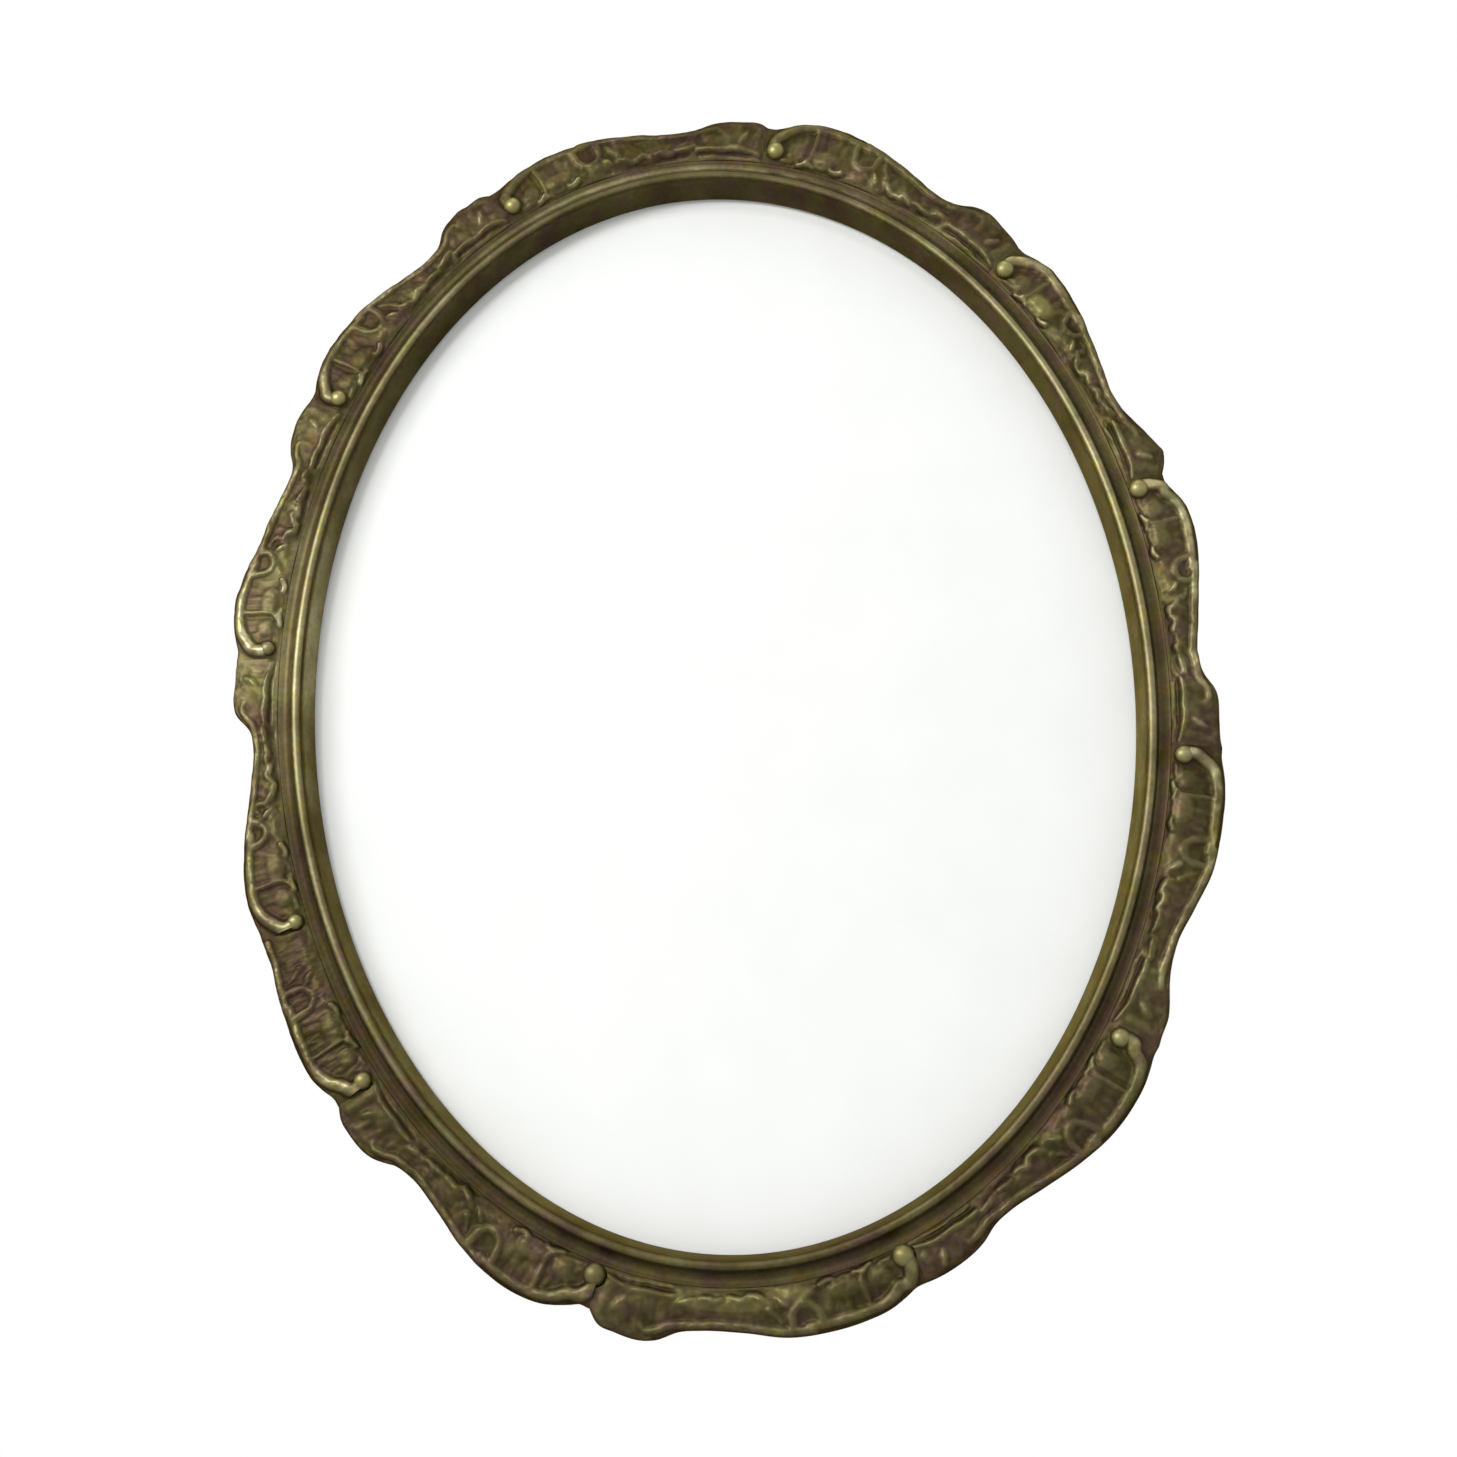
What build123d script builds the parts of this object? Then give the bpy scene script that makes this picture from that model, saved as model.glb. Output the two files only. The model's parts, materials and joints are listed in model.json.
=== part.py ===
from build123d import *
import math
import os

os.makedirs("parts", exist_ok=True)

# An oval wall frame for a portrait picture. Its front looks along -Y and its
# back along +Y, with +Z up. The origin is the centre of the sight opening, on
# the plane where the glass meets the sight edge. A height is measured from that
# plane towards the viewer, and a reach outwards from the sight edge.
# All lengths are in millimetres.

# The glass, the blank card and the backing board, a stack of equal ovals
glass_width = 304.8
glass_height = 406.4
glass_thickness = 2.0
card_thickness = 1.5
board_thickness = 3.0
sight_overlap = 6.0
stack_play = 0.3
rebate_clearance = 0.8
card_shrink = 0.3
board_shrink = 0.5

# The sight slip: sloped lip, round bead and a foot that drops on a ledge
bead_radius = 1.25
bead_reach = 4.25
bead_height = 12.1
bead_foot_drop = 1.1
lip_hollow = 0.5
lip_edge = 0.8
slip_width = 6.6
slip_shoulder_height = 9.2
slip_gap = 0.2

# The wooden moulding: rebate wall, ledge, hollow channel and ornament seat
moulding_width = 17.5
ledge_reach = 5.0
ledge_height = 4.0
channel_height = 8.6
channel_depth = 0.9
channel_reach = 10.4
seat_height = 2.0
back_round = 1.5

# The loose tongues that join the moulding's segments
tongue_thickness = 2.4
tongue_width = 6.0
tongue_length = 14.0
tongue_clearance = 0.1
tongue_reach = 12.2
tongue_height = -2.4

# The pressed ornament, laid round the moulding in equal lengths
band_width = 28.8
whole_lengths = 11
cut_share = 0.604
first_knob_share = 0.2233
knob_reach = 15.25
butt_gap = 0.2
join_lead = 2.6
ornament_gap = 0.2
crown_foot_height = 8.8
crown_height = 12.3
crown_reach = 14.5
crown_edge_height = 10.4
flank_draft = 0.8
flank_top = 15.0
knob_radius = 3.7
knob_height = 11.9
knob_lead = 2.2
rim_width = 3.2
rim_rise = 1.4
field_reach = 11.9
curl_radius = 2.5
curl_wire = 0.85
curl_along_share = 0.345
curl_drop = 4.4

# The turn buttons and their screws
button_length = 24.0
button_width = 9.0
button_thickness = 1.6
button_reach = 12.2
button_tail = 5.4
button_edge_round = 0.4
button_lift = 0.1
pivot_screw_radius = 1.55
pivot_clearance = 0.06
pivot_head_radius = 2.9
screw_head_height = 1.4
screw_grip = 6.8
screw_slot_width = 0.7
screw_slot_depth = 0.6
screw_hole_clearance = 0.05

# The ring hanger at the top of the back
plate_length = 32.0
plate_width = 7.6
plate_thickness = 1.2
plate_hole_spacing = 22.0
plate_reach = 11.4
plate_corner = 2.5
knuckle_width = 5.0
knuckle_wall = 0.9
knuckle_bore_radius = 1.5
ring_radius = 8.0
ring_wire_radius = 1.1
hanger_screw_radius = 1.3
hanger_head_radius = 2.4

# The wall bumpers near the foot of the back
bumper_radius = 4.2
bumper_thickness = 5.0
bumper_round = 1.4
bumper_reach = 12.0
bumper_spread = 48.6

overrun = 1.0

# Where the outline of an ornament length has its named points, as shares of
# the pitch along the band from the length's own knob.
crest_along_share = 0.177
shoulder_along_share = 0.393
valley_along_share = 0.648
rise_along_share = 0.776
leaf_along_share = 0.884
notch_along_share = 0.006

# Reaches of each ornament length as shares of the band's width, at its notch,
# crest, shoulder, valley, leaf rise and leaf. The pressings differ a little.
reach_shares = [
    (0.88, 1.110, 0.98, 0.765, 0.970, 0.965),
    (0.91, 0.990, 0.855, 0.68, 0.790, 0.940),
    (0.84, 1.000, 0.885, 0.73, 0.905, 0.940),
    (0.97, 1.045, 1.00, 0.795, 0.845, 0.980),
    (1.00, 1.075, 0.955, 0.74, 0.830, 0.870),
    (0.85, 0.970, 0.95, 0.84, 1.010, 1.035),
    (0.86, 1.075, 0.975, 0.785, 0.970, 1.030),
    (0.95, 1.060, 0.99, 0.95, 0.950, 0.950),
    (0.98, 1.000, 0.82, 0.66, 0.890, 0.920),
    (0.91, 1.035, 0.865, 0.73, 0.865, 0.940),
    (0.89, 1.040, 0.93, 0.71, 0.915, 0.970),
    (0.88, 1.000, 0.95, 0.78, 0.910, 0.980),
]
length_count = len(reach_shares)
cut_length = 7

# Sizes that follow
sight_x = glass_width / 2 - sight_overlap
sight_z = glass_height / 2 - sight_overlap
back_height = -(glass_thickness + card_thickness + board_thickness + stack_play)
rebate_reach = sight_overlap + rebate_clearance
ornament_reach = channel_reach + ornament_gap
knob_x = sight_x + knob_reach
knob_z = sight_z + knob_reach

with BuildLine(Plane.XZ) as sight_line:
    EllipticalCenterArc((0, 0), sight_x, sight_z, 0, arc_size=360)

with BuildLine(Plane.XZ) as knob_line:
    EllipticalCenterArc((0, 0), knob_x, knob_z, 0, arc_size=360)

knob_edge = knob_line.edge()
perimeter = knob_edge.length
pitch = perimeter / (whole_lengths + cut_share)


def outward(turn):
    """Foot on the sight edge and unit outward direction at an oval angle."""
    foot = Vector(sight_x * math.cos(turn), sight_z * math.sin(turn))
    way = Vector(math.cos(turn) / sight_x, math.sin(turn) / sight_z).normalized()
    return foot, way


def turn_at(along):
    """Oval angle at a distance clockwise from the first knob."""
    place = knob_edge @ ((first_knob_share - along / perimeter) % 1)
    return math.atan2(place.Z / knob_z, place.X / knob_x)


def flat_spot(along, reach):
    """Point on the drawing plane at a distance along the band and a reach."""
    foot, way = outward(turn_at(along))
    return foot + way * reach


def spot(turn, reach, height):
    """Point in space at an oval angle, a reach and a height."""
    foot, way = outward(turn)
    flat = foot + way * reach
    return Vector(flat.X, -height, flat.Y)


def section_plane(turn):
    """Plane across the moulding: local X is the reach, local Y the height."""
    foot, way = outward(turn)
    return Plane(
        origin=(foot.X, 0, foot.Y),
        x_dir=(way.X, 0, way.Y),
        z_dir=(way.Y, 0, -way.X),
    )


def finish(builder, label):
    builder.part.label = label
    export_step(builder.part, f"parts/{label}.step")


# Sight slip, one turned ring with the lip and the bead
bead_centre = bead_height - bead_radius
bead_foot = bead_height - bead_radius - bead_foot_drop
with BuildPart() as sight_slip:
    with BuildSketch(section_plane(0)) as slip_section:
        with BuildLine():
            Polyline(
                (bead_reach + bead_radius, bead_foot),
                (slip_width, slip_shoulder_height),
                (slip_width, ledge_height),
                (ledge_reach - slip_gap, ledge_height),
                (ledge_reach - slip_gap, 0),
                (0, 0),
                (0, lip_edge),
            )
            lip_top = (bead_reach - bead_radius, bead_foot)
            ThreePointArc(
                (0, lip_edge),
                (lip_top[0] / 2 + lip_hollow, (lip_top[1] + lip_edge) / 2 - lip_hollow / 2),
                lip_top,
            )
            Line(lip_top, (bead_reach - bead_radius, bead_centre))
            ThreePointArc(
                (bead_reach - bead_radius, bead_centre),
                (bead_reach, bead_height),
                (bead_reach + bead_radius, bead_centre),
            )
            Line(
                (bead_reach + bead_radius, bead_centre),
                (bead_reach + bead_radius, bead_foot),
            )
        make_face()
    sweep(path=sight_line.edge())
finish(sight_slip, "sight_slip")

# Oval angles of the turn buttons, and the planes of all screws on the back
button_turns = {
    "right": 0,
    "top_right": math.pi / 3,
    "top_left": 2 * math.pi / 3,
    "left": math.pi,
    "bottom_left": 4 * math.pi / 3,
    "bottom_right": 5 * math.pi / 3,
}


def back_plane(turn, reach, height):
    """Plane on the back at an oval angle: local X outwards, local Z to the wall."""
    foot, way = outward(turn)
    return Plane(
        origin=spot(turn, reach, height),
        x_dir=(way.X, 0, way.Y),
        z_dir=(0, 1, 0),
    )


pivot_planes = [
    back_plane(turn, button_reach, back_height) for turn in button_turns.values()
]
hanger_planes = [
    Plane(
        origin=(side * plate_hole_spacing / 2, -back_height, sight_z + plate_reach),
        x_dir=(1, 0, 0),
        z_dir=(0, 1, 0),
    )
    for side in (-1, 1)
]
screw_holes = [(plane, pivot_screw_radius) for plane in pivot_planes]
screw_holes += [(plane, hanger_screw_radius) for plane in hanger_planes]

# Wooden moulding, four segments joined by loose tongues
segment_names = ["top", "left", "bottom", "right"]
quarter = math.pi / 2


def tongue_place(index, plane_height):
    """Location of the tongue at the start of a segment."""
    turn = quarter / 2 + index * quarter
    foot, way = outward(turn)
    centre = spot(turn, tongue_reach, plane_height)
    return Plane(origin=centre, x_dir=(way.X, 0, way.Y), z_dir=(0, -1, 0))


for index, name in enumerate(segment_names):
    start = quarter / 2 + index * quarter
    with BuildLine(Plane.XZ) as segment_line:
        EllipticalCenterArc(
            (0, 0), sight_x, sight_z, math.degrees(start), arc_size=math.degrees(quarter)
        )
    with BuildPart() as segment:
        with BuildSketch(section_plane(start)) as moulding_section:
            with BuildLine():
                Polyline(
                    (rebate_reach, channel_height),
                    (rebate_reach, ledge_height - slip_gap),
                    (ledge_reach, ledge_height - slip_gap),
                    (ledge_reach, 0),
                    (rebate_reach, 0),
                    (rebate_reach, back_height),
                    (moulding_width - back_round, back_height),
                    (moulding_width, back_height + back_round),
                    (moulding_width, seat_height),
                    (channel_reach, seat_height),
                    (channel_reach, channel_height),
                )
                ThreePointArc(
                    (channel_reach, channel_height),
                    ((channel_reach + rebate_reach) / 2, channel_height - channel_depth),
                    (rebate_reach, channel_height),
                )
            make_face()
        sweep(path=segment_line.edge())
        for end in (index, index + 1):
            with BuildSketch(tongue_place(end, tongue_height)):
                Rectangle(
                    tongue_width + 2 * tongue_clearance,
                    tongue_length + 2 * tongue_clearance,
                )
            extrude(
                amount=tongue_thickness / 2 + tongue_clearance,
                both=True,
                mode=Mode.SUBTRACT,
            )
        for plane, radius in screw_holes:
            with BuildSketch(plane.offset(overrun)):
                Circle(radius + screw_hole_clearance)
            extrude(amount=-overrun - screw_grip - screw_hole_clearance, mode=Mode.SUBTRACT)
    finish(segment, f"moulding_{name}")

with BuildPart() as joint_tongues:
    for index in range(len(segment_names)):
        with BuildSketch(tongue_place(index, tongue_height)):
            Rectangle(tongue_width, tongue_length)
        extrude(amount=tongue_thickness / 2, both=True)
finish(joint_tongues, "joint_tongues")


# Pressed ornament
def mix(low, high, share):
    return low + (high - low) * share


def outline_spots(number):
    """Hand-set outline of one ornament length: along and reach, both lengths."""
    reaches = [share * band_width for share in reach_shares[number]]
    notch, crest, shoulder, valley, rise, leaf = reaches
    next_notch = reach_shares[(number + 1) % length_count][0] * band_width
    rows = [
        (notch_along_share, notch),
        (mix(notch_along_share, crest_along_share, 0.22), mix(notch, crest, 0.36)),
        (mix(notch_along_share, crest_along_share, 0.52), mix(notch, crest, 0.80)),
        (crest_along_share, crest),
        (mix(crest_along_share, shoulder_along_share, 0.48), mix(crest, shoulder, 0.25)),
        (shoulder_along_share, shoulder),
    ]
    if number != cut_length:
        rows += [
            (mix(shoulder_along_share, valley_along_share, 0.5), mix(shoulder, valley, 0.54)),
            (valley_along_share, valley),
            (mix(valley_along_share, rise_along_share, 0.52), mix(valley, rise, 0.20)),
            (rise_along_share, rise),
            (leaf_along_share, leaf),
            (mix(leaf_along_share, 1.0, 0.55), mix(leaf, next_notch, 0.35)),
        ]
    else:
        rows += [(mix(shoulder_along_share, cut_share, 0.45), valley)]
    return [(share * pitch, reach) for share, reach in rows]


def length_start(number):
    """Distance from the first knob to the knob of an ornament length."""
    start = number * pitch
    if number > cut_length:
        start -= (1 - cut_share) * pitch
    return start


def crown_rise(reach):
    """Height of the ornament's face at a reach."""
    if reach < crown_reach:
        share = (crown_reach - reach) / (crown_reach - ornament_reach)
        return mix(crown_height, crown_foot_height, share**2)
    share = (reach - crown_reach) / (band_width - crown_reach)
    return mix(crown_height, crown_edge_height, share**1.5)


def casting_face(number, inset, height):
    """Plan of an ornament length at a height, set in by a draft."""
    start = length_start(number)
    lead = start - join_lead + butt_gap / 2
    span = cut_share * pitch if number == cut_length else pitch
    tail = start + span - join_lead - butt_gap / 2
    own_notch = reach_shares[number][0] * band_width
    next_notch = reach_shares[(number + 1) % length_count][0] * band_width
    outer = [flat_spot(lead, own_notch + rim_width / 6 - inset)]
    outer += [
        flat_spot(start + along, reach - inset) for along, reach in outline_spots(number)
    ]
    outer += [flat_spot(tail, next_notch + rim_width / 6 - inset)]
    inner = [
        flat_spot(mix(lead, tail, share), ornament_reach) for share in (0, 0.25, 0.5, 0.75, 1)
    ]
    with BuildSketch(Plane.XZ.offset(height)) as plan:
        with BuildLine():
            Spline(*outer)
            Spline(*inner)
            Line(outer[0], inner[0])
            Line(outer[-1], inner[-1])
        make_face()
    return plan.sketch


def crown_band(number, lift):
    """Swept band with the ornament's cross-section, longer than the casting."""
    start = length_start(number)
    span = cut_share * pitch if number == cut_length else pitch
    first = turn_at(start + span)
    last = turn_at(start - 2 * join_lead)
    if last < first:
        last += 2 * math.pi
    with BuildLine(Plane.XZ) as band_line:
        EllipticalCenterArc(
            (0, 0), sight_x, sight_z, math.degrees(first), arc_size=math.degrees(last - first)
        )
    near = ornament_reach - overrun
    far = band_width + crown_reach / 2
    reaches = [near, ornament_reach, mix(ornament_reach, crown_reach, 0.5)]
    reaches += [mix(crown_reach, far, share) for share in (0, 0.25, 0.5, 0.75, 1)]
    with BuildPart() as band:
        with BuildSketch(section_plane(first)):
            face_spots = [(reach, crown_rise(reach) + lift) for reach in reaches]
            with BuildLine():
                Spline(*face_spots)
                Polyline(
                    face_spots[-1],
                    (far, seat_height - overrun),
                    (near, seat_height - overrun),
                    face_spots[0],
                )
            make_face()
        sweep(path=band_line.edge())
    return band.part


# The sunk field inside the rim roll: its near side curves round the knob, as
# pairs of a share of the pitch along the band and of the way up to the crest.
hook_shares = [(0.072, 0.00), (0.046, 0.28), (0.038, 0.56), (0.052, 0.78)]


def raised(start, along, reach):
    """Point on the ornament's sunk face."""
    flat = flat_spot(start + along, reach)
    return Vector(flat.X, -crown_rise(reach), flat.Y)


def reach_on(number, along_share):
    """Reach of the outline at a share of the pitch, straight between its points."""
    rows = outline_spots(number)
    for (low, low_reach), (high, high_reach) in zip(rows, rows[1:]):
        if low <= along_share * pitch <= high:
            return mix(low_reach, high_reach, (along_share * pitch - low) / (high - low))
    return rows[-1][1]


def field_plan(number):
    """Plan of the field that the rim roll runs round, at the ornament's seat."""
    start = length_start(number)
    outline = outline_spots(number)
    crest = outline[3][1] - rim_width
    near = [
        flat_spot(start + along_share * pitch, mix(field_reach, crest, reach_share))
        for along_share, reach_share in hook_shares
    ]
    outer = near + [
        flat_spot(start + along, reach - rim_width) for along, reach in outline[2:-1]
    ]
    last_along, last_reach = outline[-1]
    outer.append(flat_spot(start + last_along, last_reach - rim_width))
    shares = (0, 0.33, 0.67, 1)
    first_along = hook_shares[0][0] * pitch
    inner = [
        flat_spot(start + mix(first_along, last_along, share), field_reach) for share in shares
    ]
    with BuildSketch(Plane.XZ.offset(seat_height)) as plan:
        with BuildLine():
            Spline(*outer)
            Spline(*inner)
            Line(outer[-1], inner[-1])
        make_face()
    return plan.sketch


for number in range(length_count):
    start = length_start(number)
    plans = [
        casting_face(number, 0, seat_height),
        casting_face(number, flank_draft, flank_top),
    ]
    with BuildPart() as sunk_field:
        extrude(field_plan(number), amount=flank_top)
        add(crown_band(number, 0), mode=Mode.SUBTRACT)
    with BuildPart() as casting:
        loft(sections=plans)
        add(crown_band(number, rim_rise), mode=Mode.INTERSECT)
        add(sunk_field.part, mode=Mode.SUBTRACT)
        knob_spot = flat_spot(start + knob_lead, knob_reach)
        knob_centre = (knob_spot.X, -knob_height, knob_spot.Y)
        with Locations(Plane(origin=knob_centre, z_dir=(0, -1, 0))):
            Sphere(knob_radius)
        curl_reach = reach_on(number, curl_along_share) - curl_drop
        curl_spot = raised(start, curl_along_share * pitch, curl_reach)
        with Locations(Plane(origin=curl_spot, z_dir=(0, -1, 0))):
            Torus(curl_radius, curl_wire)
    finish(casting, f"ornament_{number + 1:02d}")

# Glass, blank card and backing board, laid against the sight edge from behind
stack = [
    ("glass_pane", glass_thickness, 0),
    ("blank_card", card_thickness, card_shrink),
    ("backing_board", board_thickness, board_shrink),
]
stack_depth = 0
for name, thickness, shrink in stack:
    with BuildPart() as sheet:
        with BuildSketch(Plane.XZ.offset(-stack_depth)):
            Ellipse(glass_width / 2 - shrink, glass_height / 2 - shrink)
        extrude(amount=-thickness)
    finish(sheet, name)
    stack_depth += thickness

# Turn buttons that hold the board in, each on its own screw
button_bore = pivot_screw_radius + pivot_clearance
button_floor = back_height - button_lift

for name, turn in button_turns.items():
    with BuildPart() as button:
        with BuildSketch(back_plane(turn, button_reach, button_floor)):
            with Locations((button_tail - button_length / 2, 0)):
                SlotOverall(button_length, button_width)
            Circle(button_bore, mode=Mode.SUBTRACT)
        extrude(amount=button_thickness)
        tops = button.faces().sort_by(Axis.Y)[-1]
        chamfer(tops.outer_wire().edges(), button_edge_round)
    finish(button, f"turn_button_{name}")


def screw(plane, radius, head_radius, head_floor):
    """Round-headed slotted screw: the plane lies on the back, Z to the wall."""
    with BuildPart() as one:
        with BuildSketch(plane.offset(head_floor)):
            Circle(head_radius)
        extrude(amount=screw_head_height)
        rim_edges = one.faces().sort_by(Axis.Y)[-1].edges()
        fillet(rim_edges, screw_head_height * 2 / 3)
        with BuildSketch(plane.offset(head_floor)):
            Circle(radius)
        extrude(amount=-head_floor - screw_grip)
        with BuildSketch(plane.offset(head_floor + screw_head_height)):
            Rectangle(screw_slot_width, 2 * head_radius)
        extrude(amount=-screw_slot_depth, mode=Mode.SUBTRACT)
    return one.part


pivot_head_floor = button_lift + button_thickness + button_lift
with BuildPart() as pivot_screws:
    for plane in pivot_planes:
        add(screw(plane, pivot_screw_radius, pivot_head_radius, pivot_head_floor))
finish(pivot_screws, "pivot_screws")

# Ring hanger at the top of the back
hanger_plane = Plane(
    origin=(0, -back_height, sight_z + plate_reach),
    x_dir=(1, 0, 0),
    z_dir=(0, 1, 0),
)
knuckle_radius = knuckle_bore_radius + knuckle_wall
knuckle_rise = plate_thickness + knuckle_bore_radius
with BuildPart() as hanger_plate:
    with BuildSketch(hanger_plane):
        RectangleRounded(plate_length, plate_width, plate_corner)
        with GridLocations(plate_hole_spacing, 0, 2, 1):
            Circle(hanger_screw_radius + screw_hole_clearance, mode=Mode.SUBTRACT)
    extrude(amount=plate_thickness)
    with BuildSketch(Plane.YZ.offset(-knuckle_width / 2)):
        with Locations((knuckle_rise - back_height, sight_z + plate_reach)):
            Circle(knuckle_radius)
            Rectangle(knuckle_rise, 2 * knuckle_radius, align=(Align.MAX, Align.CENTER))
            Circle(knuckle_bore_radius, mode=Mode.SUBTRACT)
    extrude(amount=knuckle_width)
finish(hanger_plate, "hanger_plate")

ring_sag = ring_radius - math.sqrt(ring_radius**2 - (knuckle_width / 2) ** 2)
ring_drop = ring_radius - ring_sag / 2
with BuildPart() as hanging_ring:
    with Locations(
        Plane(
            origin=(0, knuckle_rise - back_height, sight_z + plate_reach - ring_drop),
            z_dir=(0, 1, 0),
        )
    ):
        Torus(ring_radius, ring_wire_radius)
finish(hanging_ring, "hanging_ring")

with BuildPart() as hanger_screws:
    for plane in hanger_planes:
        add(screw(plane, hanger_screw_radius, hanger_head_radius, plate_thickness))
finish(hanger_screws, "hanger_screws")

# Two soft bumpers that keep the foot of the frame off the wall, spread in
# degrees of the oval angle to either side of the lowest point
with BuildPart() as wall_bumpers:
    for side in (-1, 1):
        turn = 3 * quarter + side * math.radians(bumper_spread)
        with BuildSketch(back_plane(turn, bumper_reach, back_height)):
            Circle(bumper_radius)
        extrude(amount=bumper_thickness)
    fillet(wall_bumpers.faces().filter_by(Axis.Y).group_by(Axis.Y)[-1].edges(), bumper_round)
finish(wall_bumpers, "wall_bumpers")
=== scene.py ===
# %% [markdown]
# The object is an oval wall frame: a wooden ring, a turned sight slip with a round
# bead, twelve pressed lengths of scroll ornament, glass, a blank white card and a
# back that turn buttons hold in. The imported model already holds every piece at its
# real size, so this lesson loads it first and then dresses it, piece by piece.

import json
import math

import bmesh
import bpy
import numpy as np
from mathutils import Matrix, Vector


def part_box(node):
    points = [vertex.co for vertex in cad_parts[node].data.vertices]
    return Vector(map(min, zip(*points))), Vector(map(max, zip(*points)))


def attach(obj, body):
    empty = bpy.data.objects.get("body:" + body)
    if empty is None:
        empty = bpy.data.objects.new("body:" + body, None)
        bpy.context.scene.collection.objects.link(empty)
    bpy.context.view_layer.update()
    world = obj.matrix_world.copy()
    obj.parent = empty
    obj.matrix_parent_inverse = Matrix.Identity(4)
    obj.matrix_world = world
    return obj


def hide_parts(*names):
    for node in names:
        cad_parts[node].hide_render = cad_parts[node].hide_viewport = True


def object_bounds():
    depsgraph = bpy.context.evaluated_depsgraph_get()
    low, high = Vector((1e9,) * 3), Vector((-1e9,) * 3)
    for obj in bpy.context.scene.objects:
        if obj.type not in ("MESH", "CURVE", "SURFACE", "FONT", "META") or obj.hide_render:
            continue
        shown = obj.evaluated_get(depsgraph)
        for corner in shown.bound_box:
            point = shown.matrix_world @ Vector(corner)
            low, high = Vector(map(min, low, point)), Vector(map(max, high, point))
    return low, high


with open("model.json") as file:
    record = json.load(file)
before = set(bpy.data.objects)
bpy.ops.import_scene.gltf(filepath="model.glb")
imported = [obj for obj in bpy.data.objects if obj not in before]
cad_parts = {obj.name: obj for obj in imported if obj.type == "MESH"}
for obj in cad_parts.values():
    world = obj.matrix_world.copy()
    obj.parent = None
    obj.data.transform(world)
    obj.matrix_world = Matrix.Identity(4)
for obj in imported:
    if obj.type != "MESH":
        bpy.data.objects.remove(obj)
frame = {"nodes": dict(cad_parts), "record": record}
cad_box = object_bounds()
MM = 0.001
BODY = "frame_body"

# %% [markdown]
# The camera stands below the frame and a little to the right, looking up, because
# that is how the oval, the bead and the knobs line up at the photograph's viewing
# angle. A lens of 49 mm on a 36 mm sensor gives the same strength of perspective.
# The camera is built from three directions, so that it needs no aiming helper.

# %% Camera
CAMERA_PLACE = Vector((0.0383, -0.6715, -0.2229))
CAMERA_RIGHT = Vector((0.9959, 0.0703, -0.0563))
CAMERA_UP = Vector((0.0743, -0.2892, 0.9544))
CAMERA_LOOK = Vector((-0.0508, 0.9547, 0.2933))
LENS = 49.0
SENSOR = 36.0


def add_camera():
    """Camera whose axes are the three directions above."""
    data = bpy.data.cameras.new("camera")
    data.lens = LENS
    data.sensor_width = SENSOR
    camera = bpy.data.objects.new("camera", data)
    bpy.context.collection.objects.link(camera)
    turn = Matrix((CAMERA_RIGHT, CAMERA_UP, -CAMERA_LOOK)).transposed()
    camera.matrix_world = Matrix.Translation(CAMERA_PLACE) @ turn.to_4x4()
    bpy.context.scene.camera = camera
    print("camera", round(CAMERA_PLACE.length, 3), "m from the oval's centre")


add_camera()

# %% [markdown]
# Studio light for dark bronze is large and soft, so that the rounded forms carry
# long highlights and the hollows stay dark. The key light is on the left, a small
# strip beside it gives the sheen on that side of the band, and a weak lamp above
# models the rolls. The world is white only for the rays that look at it or
# mirror it, so the background is bright and the light on the frame stays plain.

# %% Light and world
WORLD_LIGHT = 0.55
LAMPS = [
    ("key", (-0.93, -1.11, 0.45), (0, 0, 0), (0.5, 0.5), 7.0),
    ("top", (0.1, -0.5, 1.4), (0, 0, 0), (0.5, 0.5), 2.5),
    ("sheen", (-0.62, -1.34, 0.51), (-0.17, 0, 0.02), (0.15, 0.3), 6.0),
]


def add_area_light(name, place, target, size, power):
    """Soft rectangular lamp at a place, turned to a target."""
    data = bpy.data.lights.new(name, "AREA")
    data.shape = "RECTANGLE"
    data.size, data.size_y = size
    data.energy = power
    lamp = bpy.data.objects.new(name, data)
    lamp.location = place
    aim = Vector(target) - Vector(place)
    lamp.rotation_euler = aim.to_track_quat("-Z", "Y").to_euler()
    bpy.context.collection.objects.link(lamp)


def add_world():
    """White to the eye and to mirrors, a plain pale light to everything else."""
    world = bpy.data.worlds.new("world")
    bpy.context.scene.world = world
    world.use_nodes = True
    nodes, links = world.node_tree.nodes, world.node_tree.links
    nodes.clear()
    path = nodes.new("ShaderNodeLightPath")
    seen = nodes.new("ShaderNodeMath")
    seen.operation = "MAXIMUM"
    links.new(path.outputs["Is Camera Ray"], seen.inputs[0])
    links.new(path.outputs["Is Transmission Ray"], seen.inputs[1])
    mirrored = nodes.new("ShaderNodeMath")
    mirrored.operation = "MAXIMUM"
    links.new(seen.outputs[0], mirrored.inputs[0])
    links.new(path.outputs["Is Glossy Ray"], mirrored.inputs[1])
    plain = nodes.new("ShaderNodeBackground")
    plain.inputs["Strength"].default_value = WORLD_LIGHT
    white = nodes.new("ShaderNodeBackground")
    white.inputs["Color"].default_value = (1, 1, 1, 1)
    plain.inputs["Color"].default_value = (1, 1, 1, 1)
    both = nodes.new("ShaderNodeMixShader")
    links.new(mirrored.outputs[0], both.inputs["Fac"])
    links.new(plain.outputs[0], both.inputs[1])
    links.new(white.outputs[0], both.inputs[2])
    out = nodes.new("ShaderNodeOutputWorld")
    links.new(both.outputs[0], out.inputs["Surface"])


add_world()
for settings in LAMPS:
    add_area_light(*settings)
bpy.context.scene.view_settings.view_transform = "Standard"
print("lamps:", len(bpy.data.lights), "world light:", WORLD_LIGHT)

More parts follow.
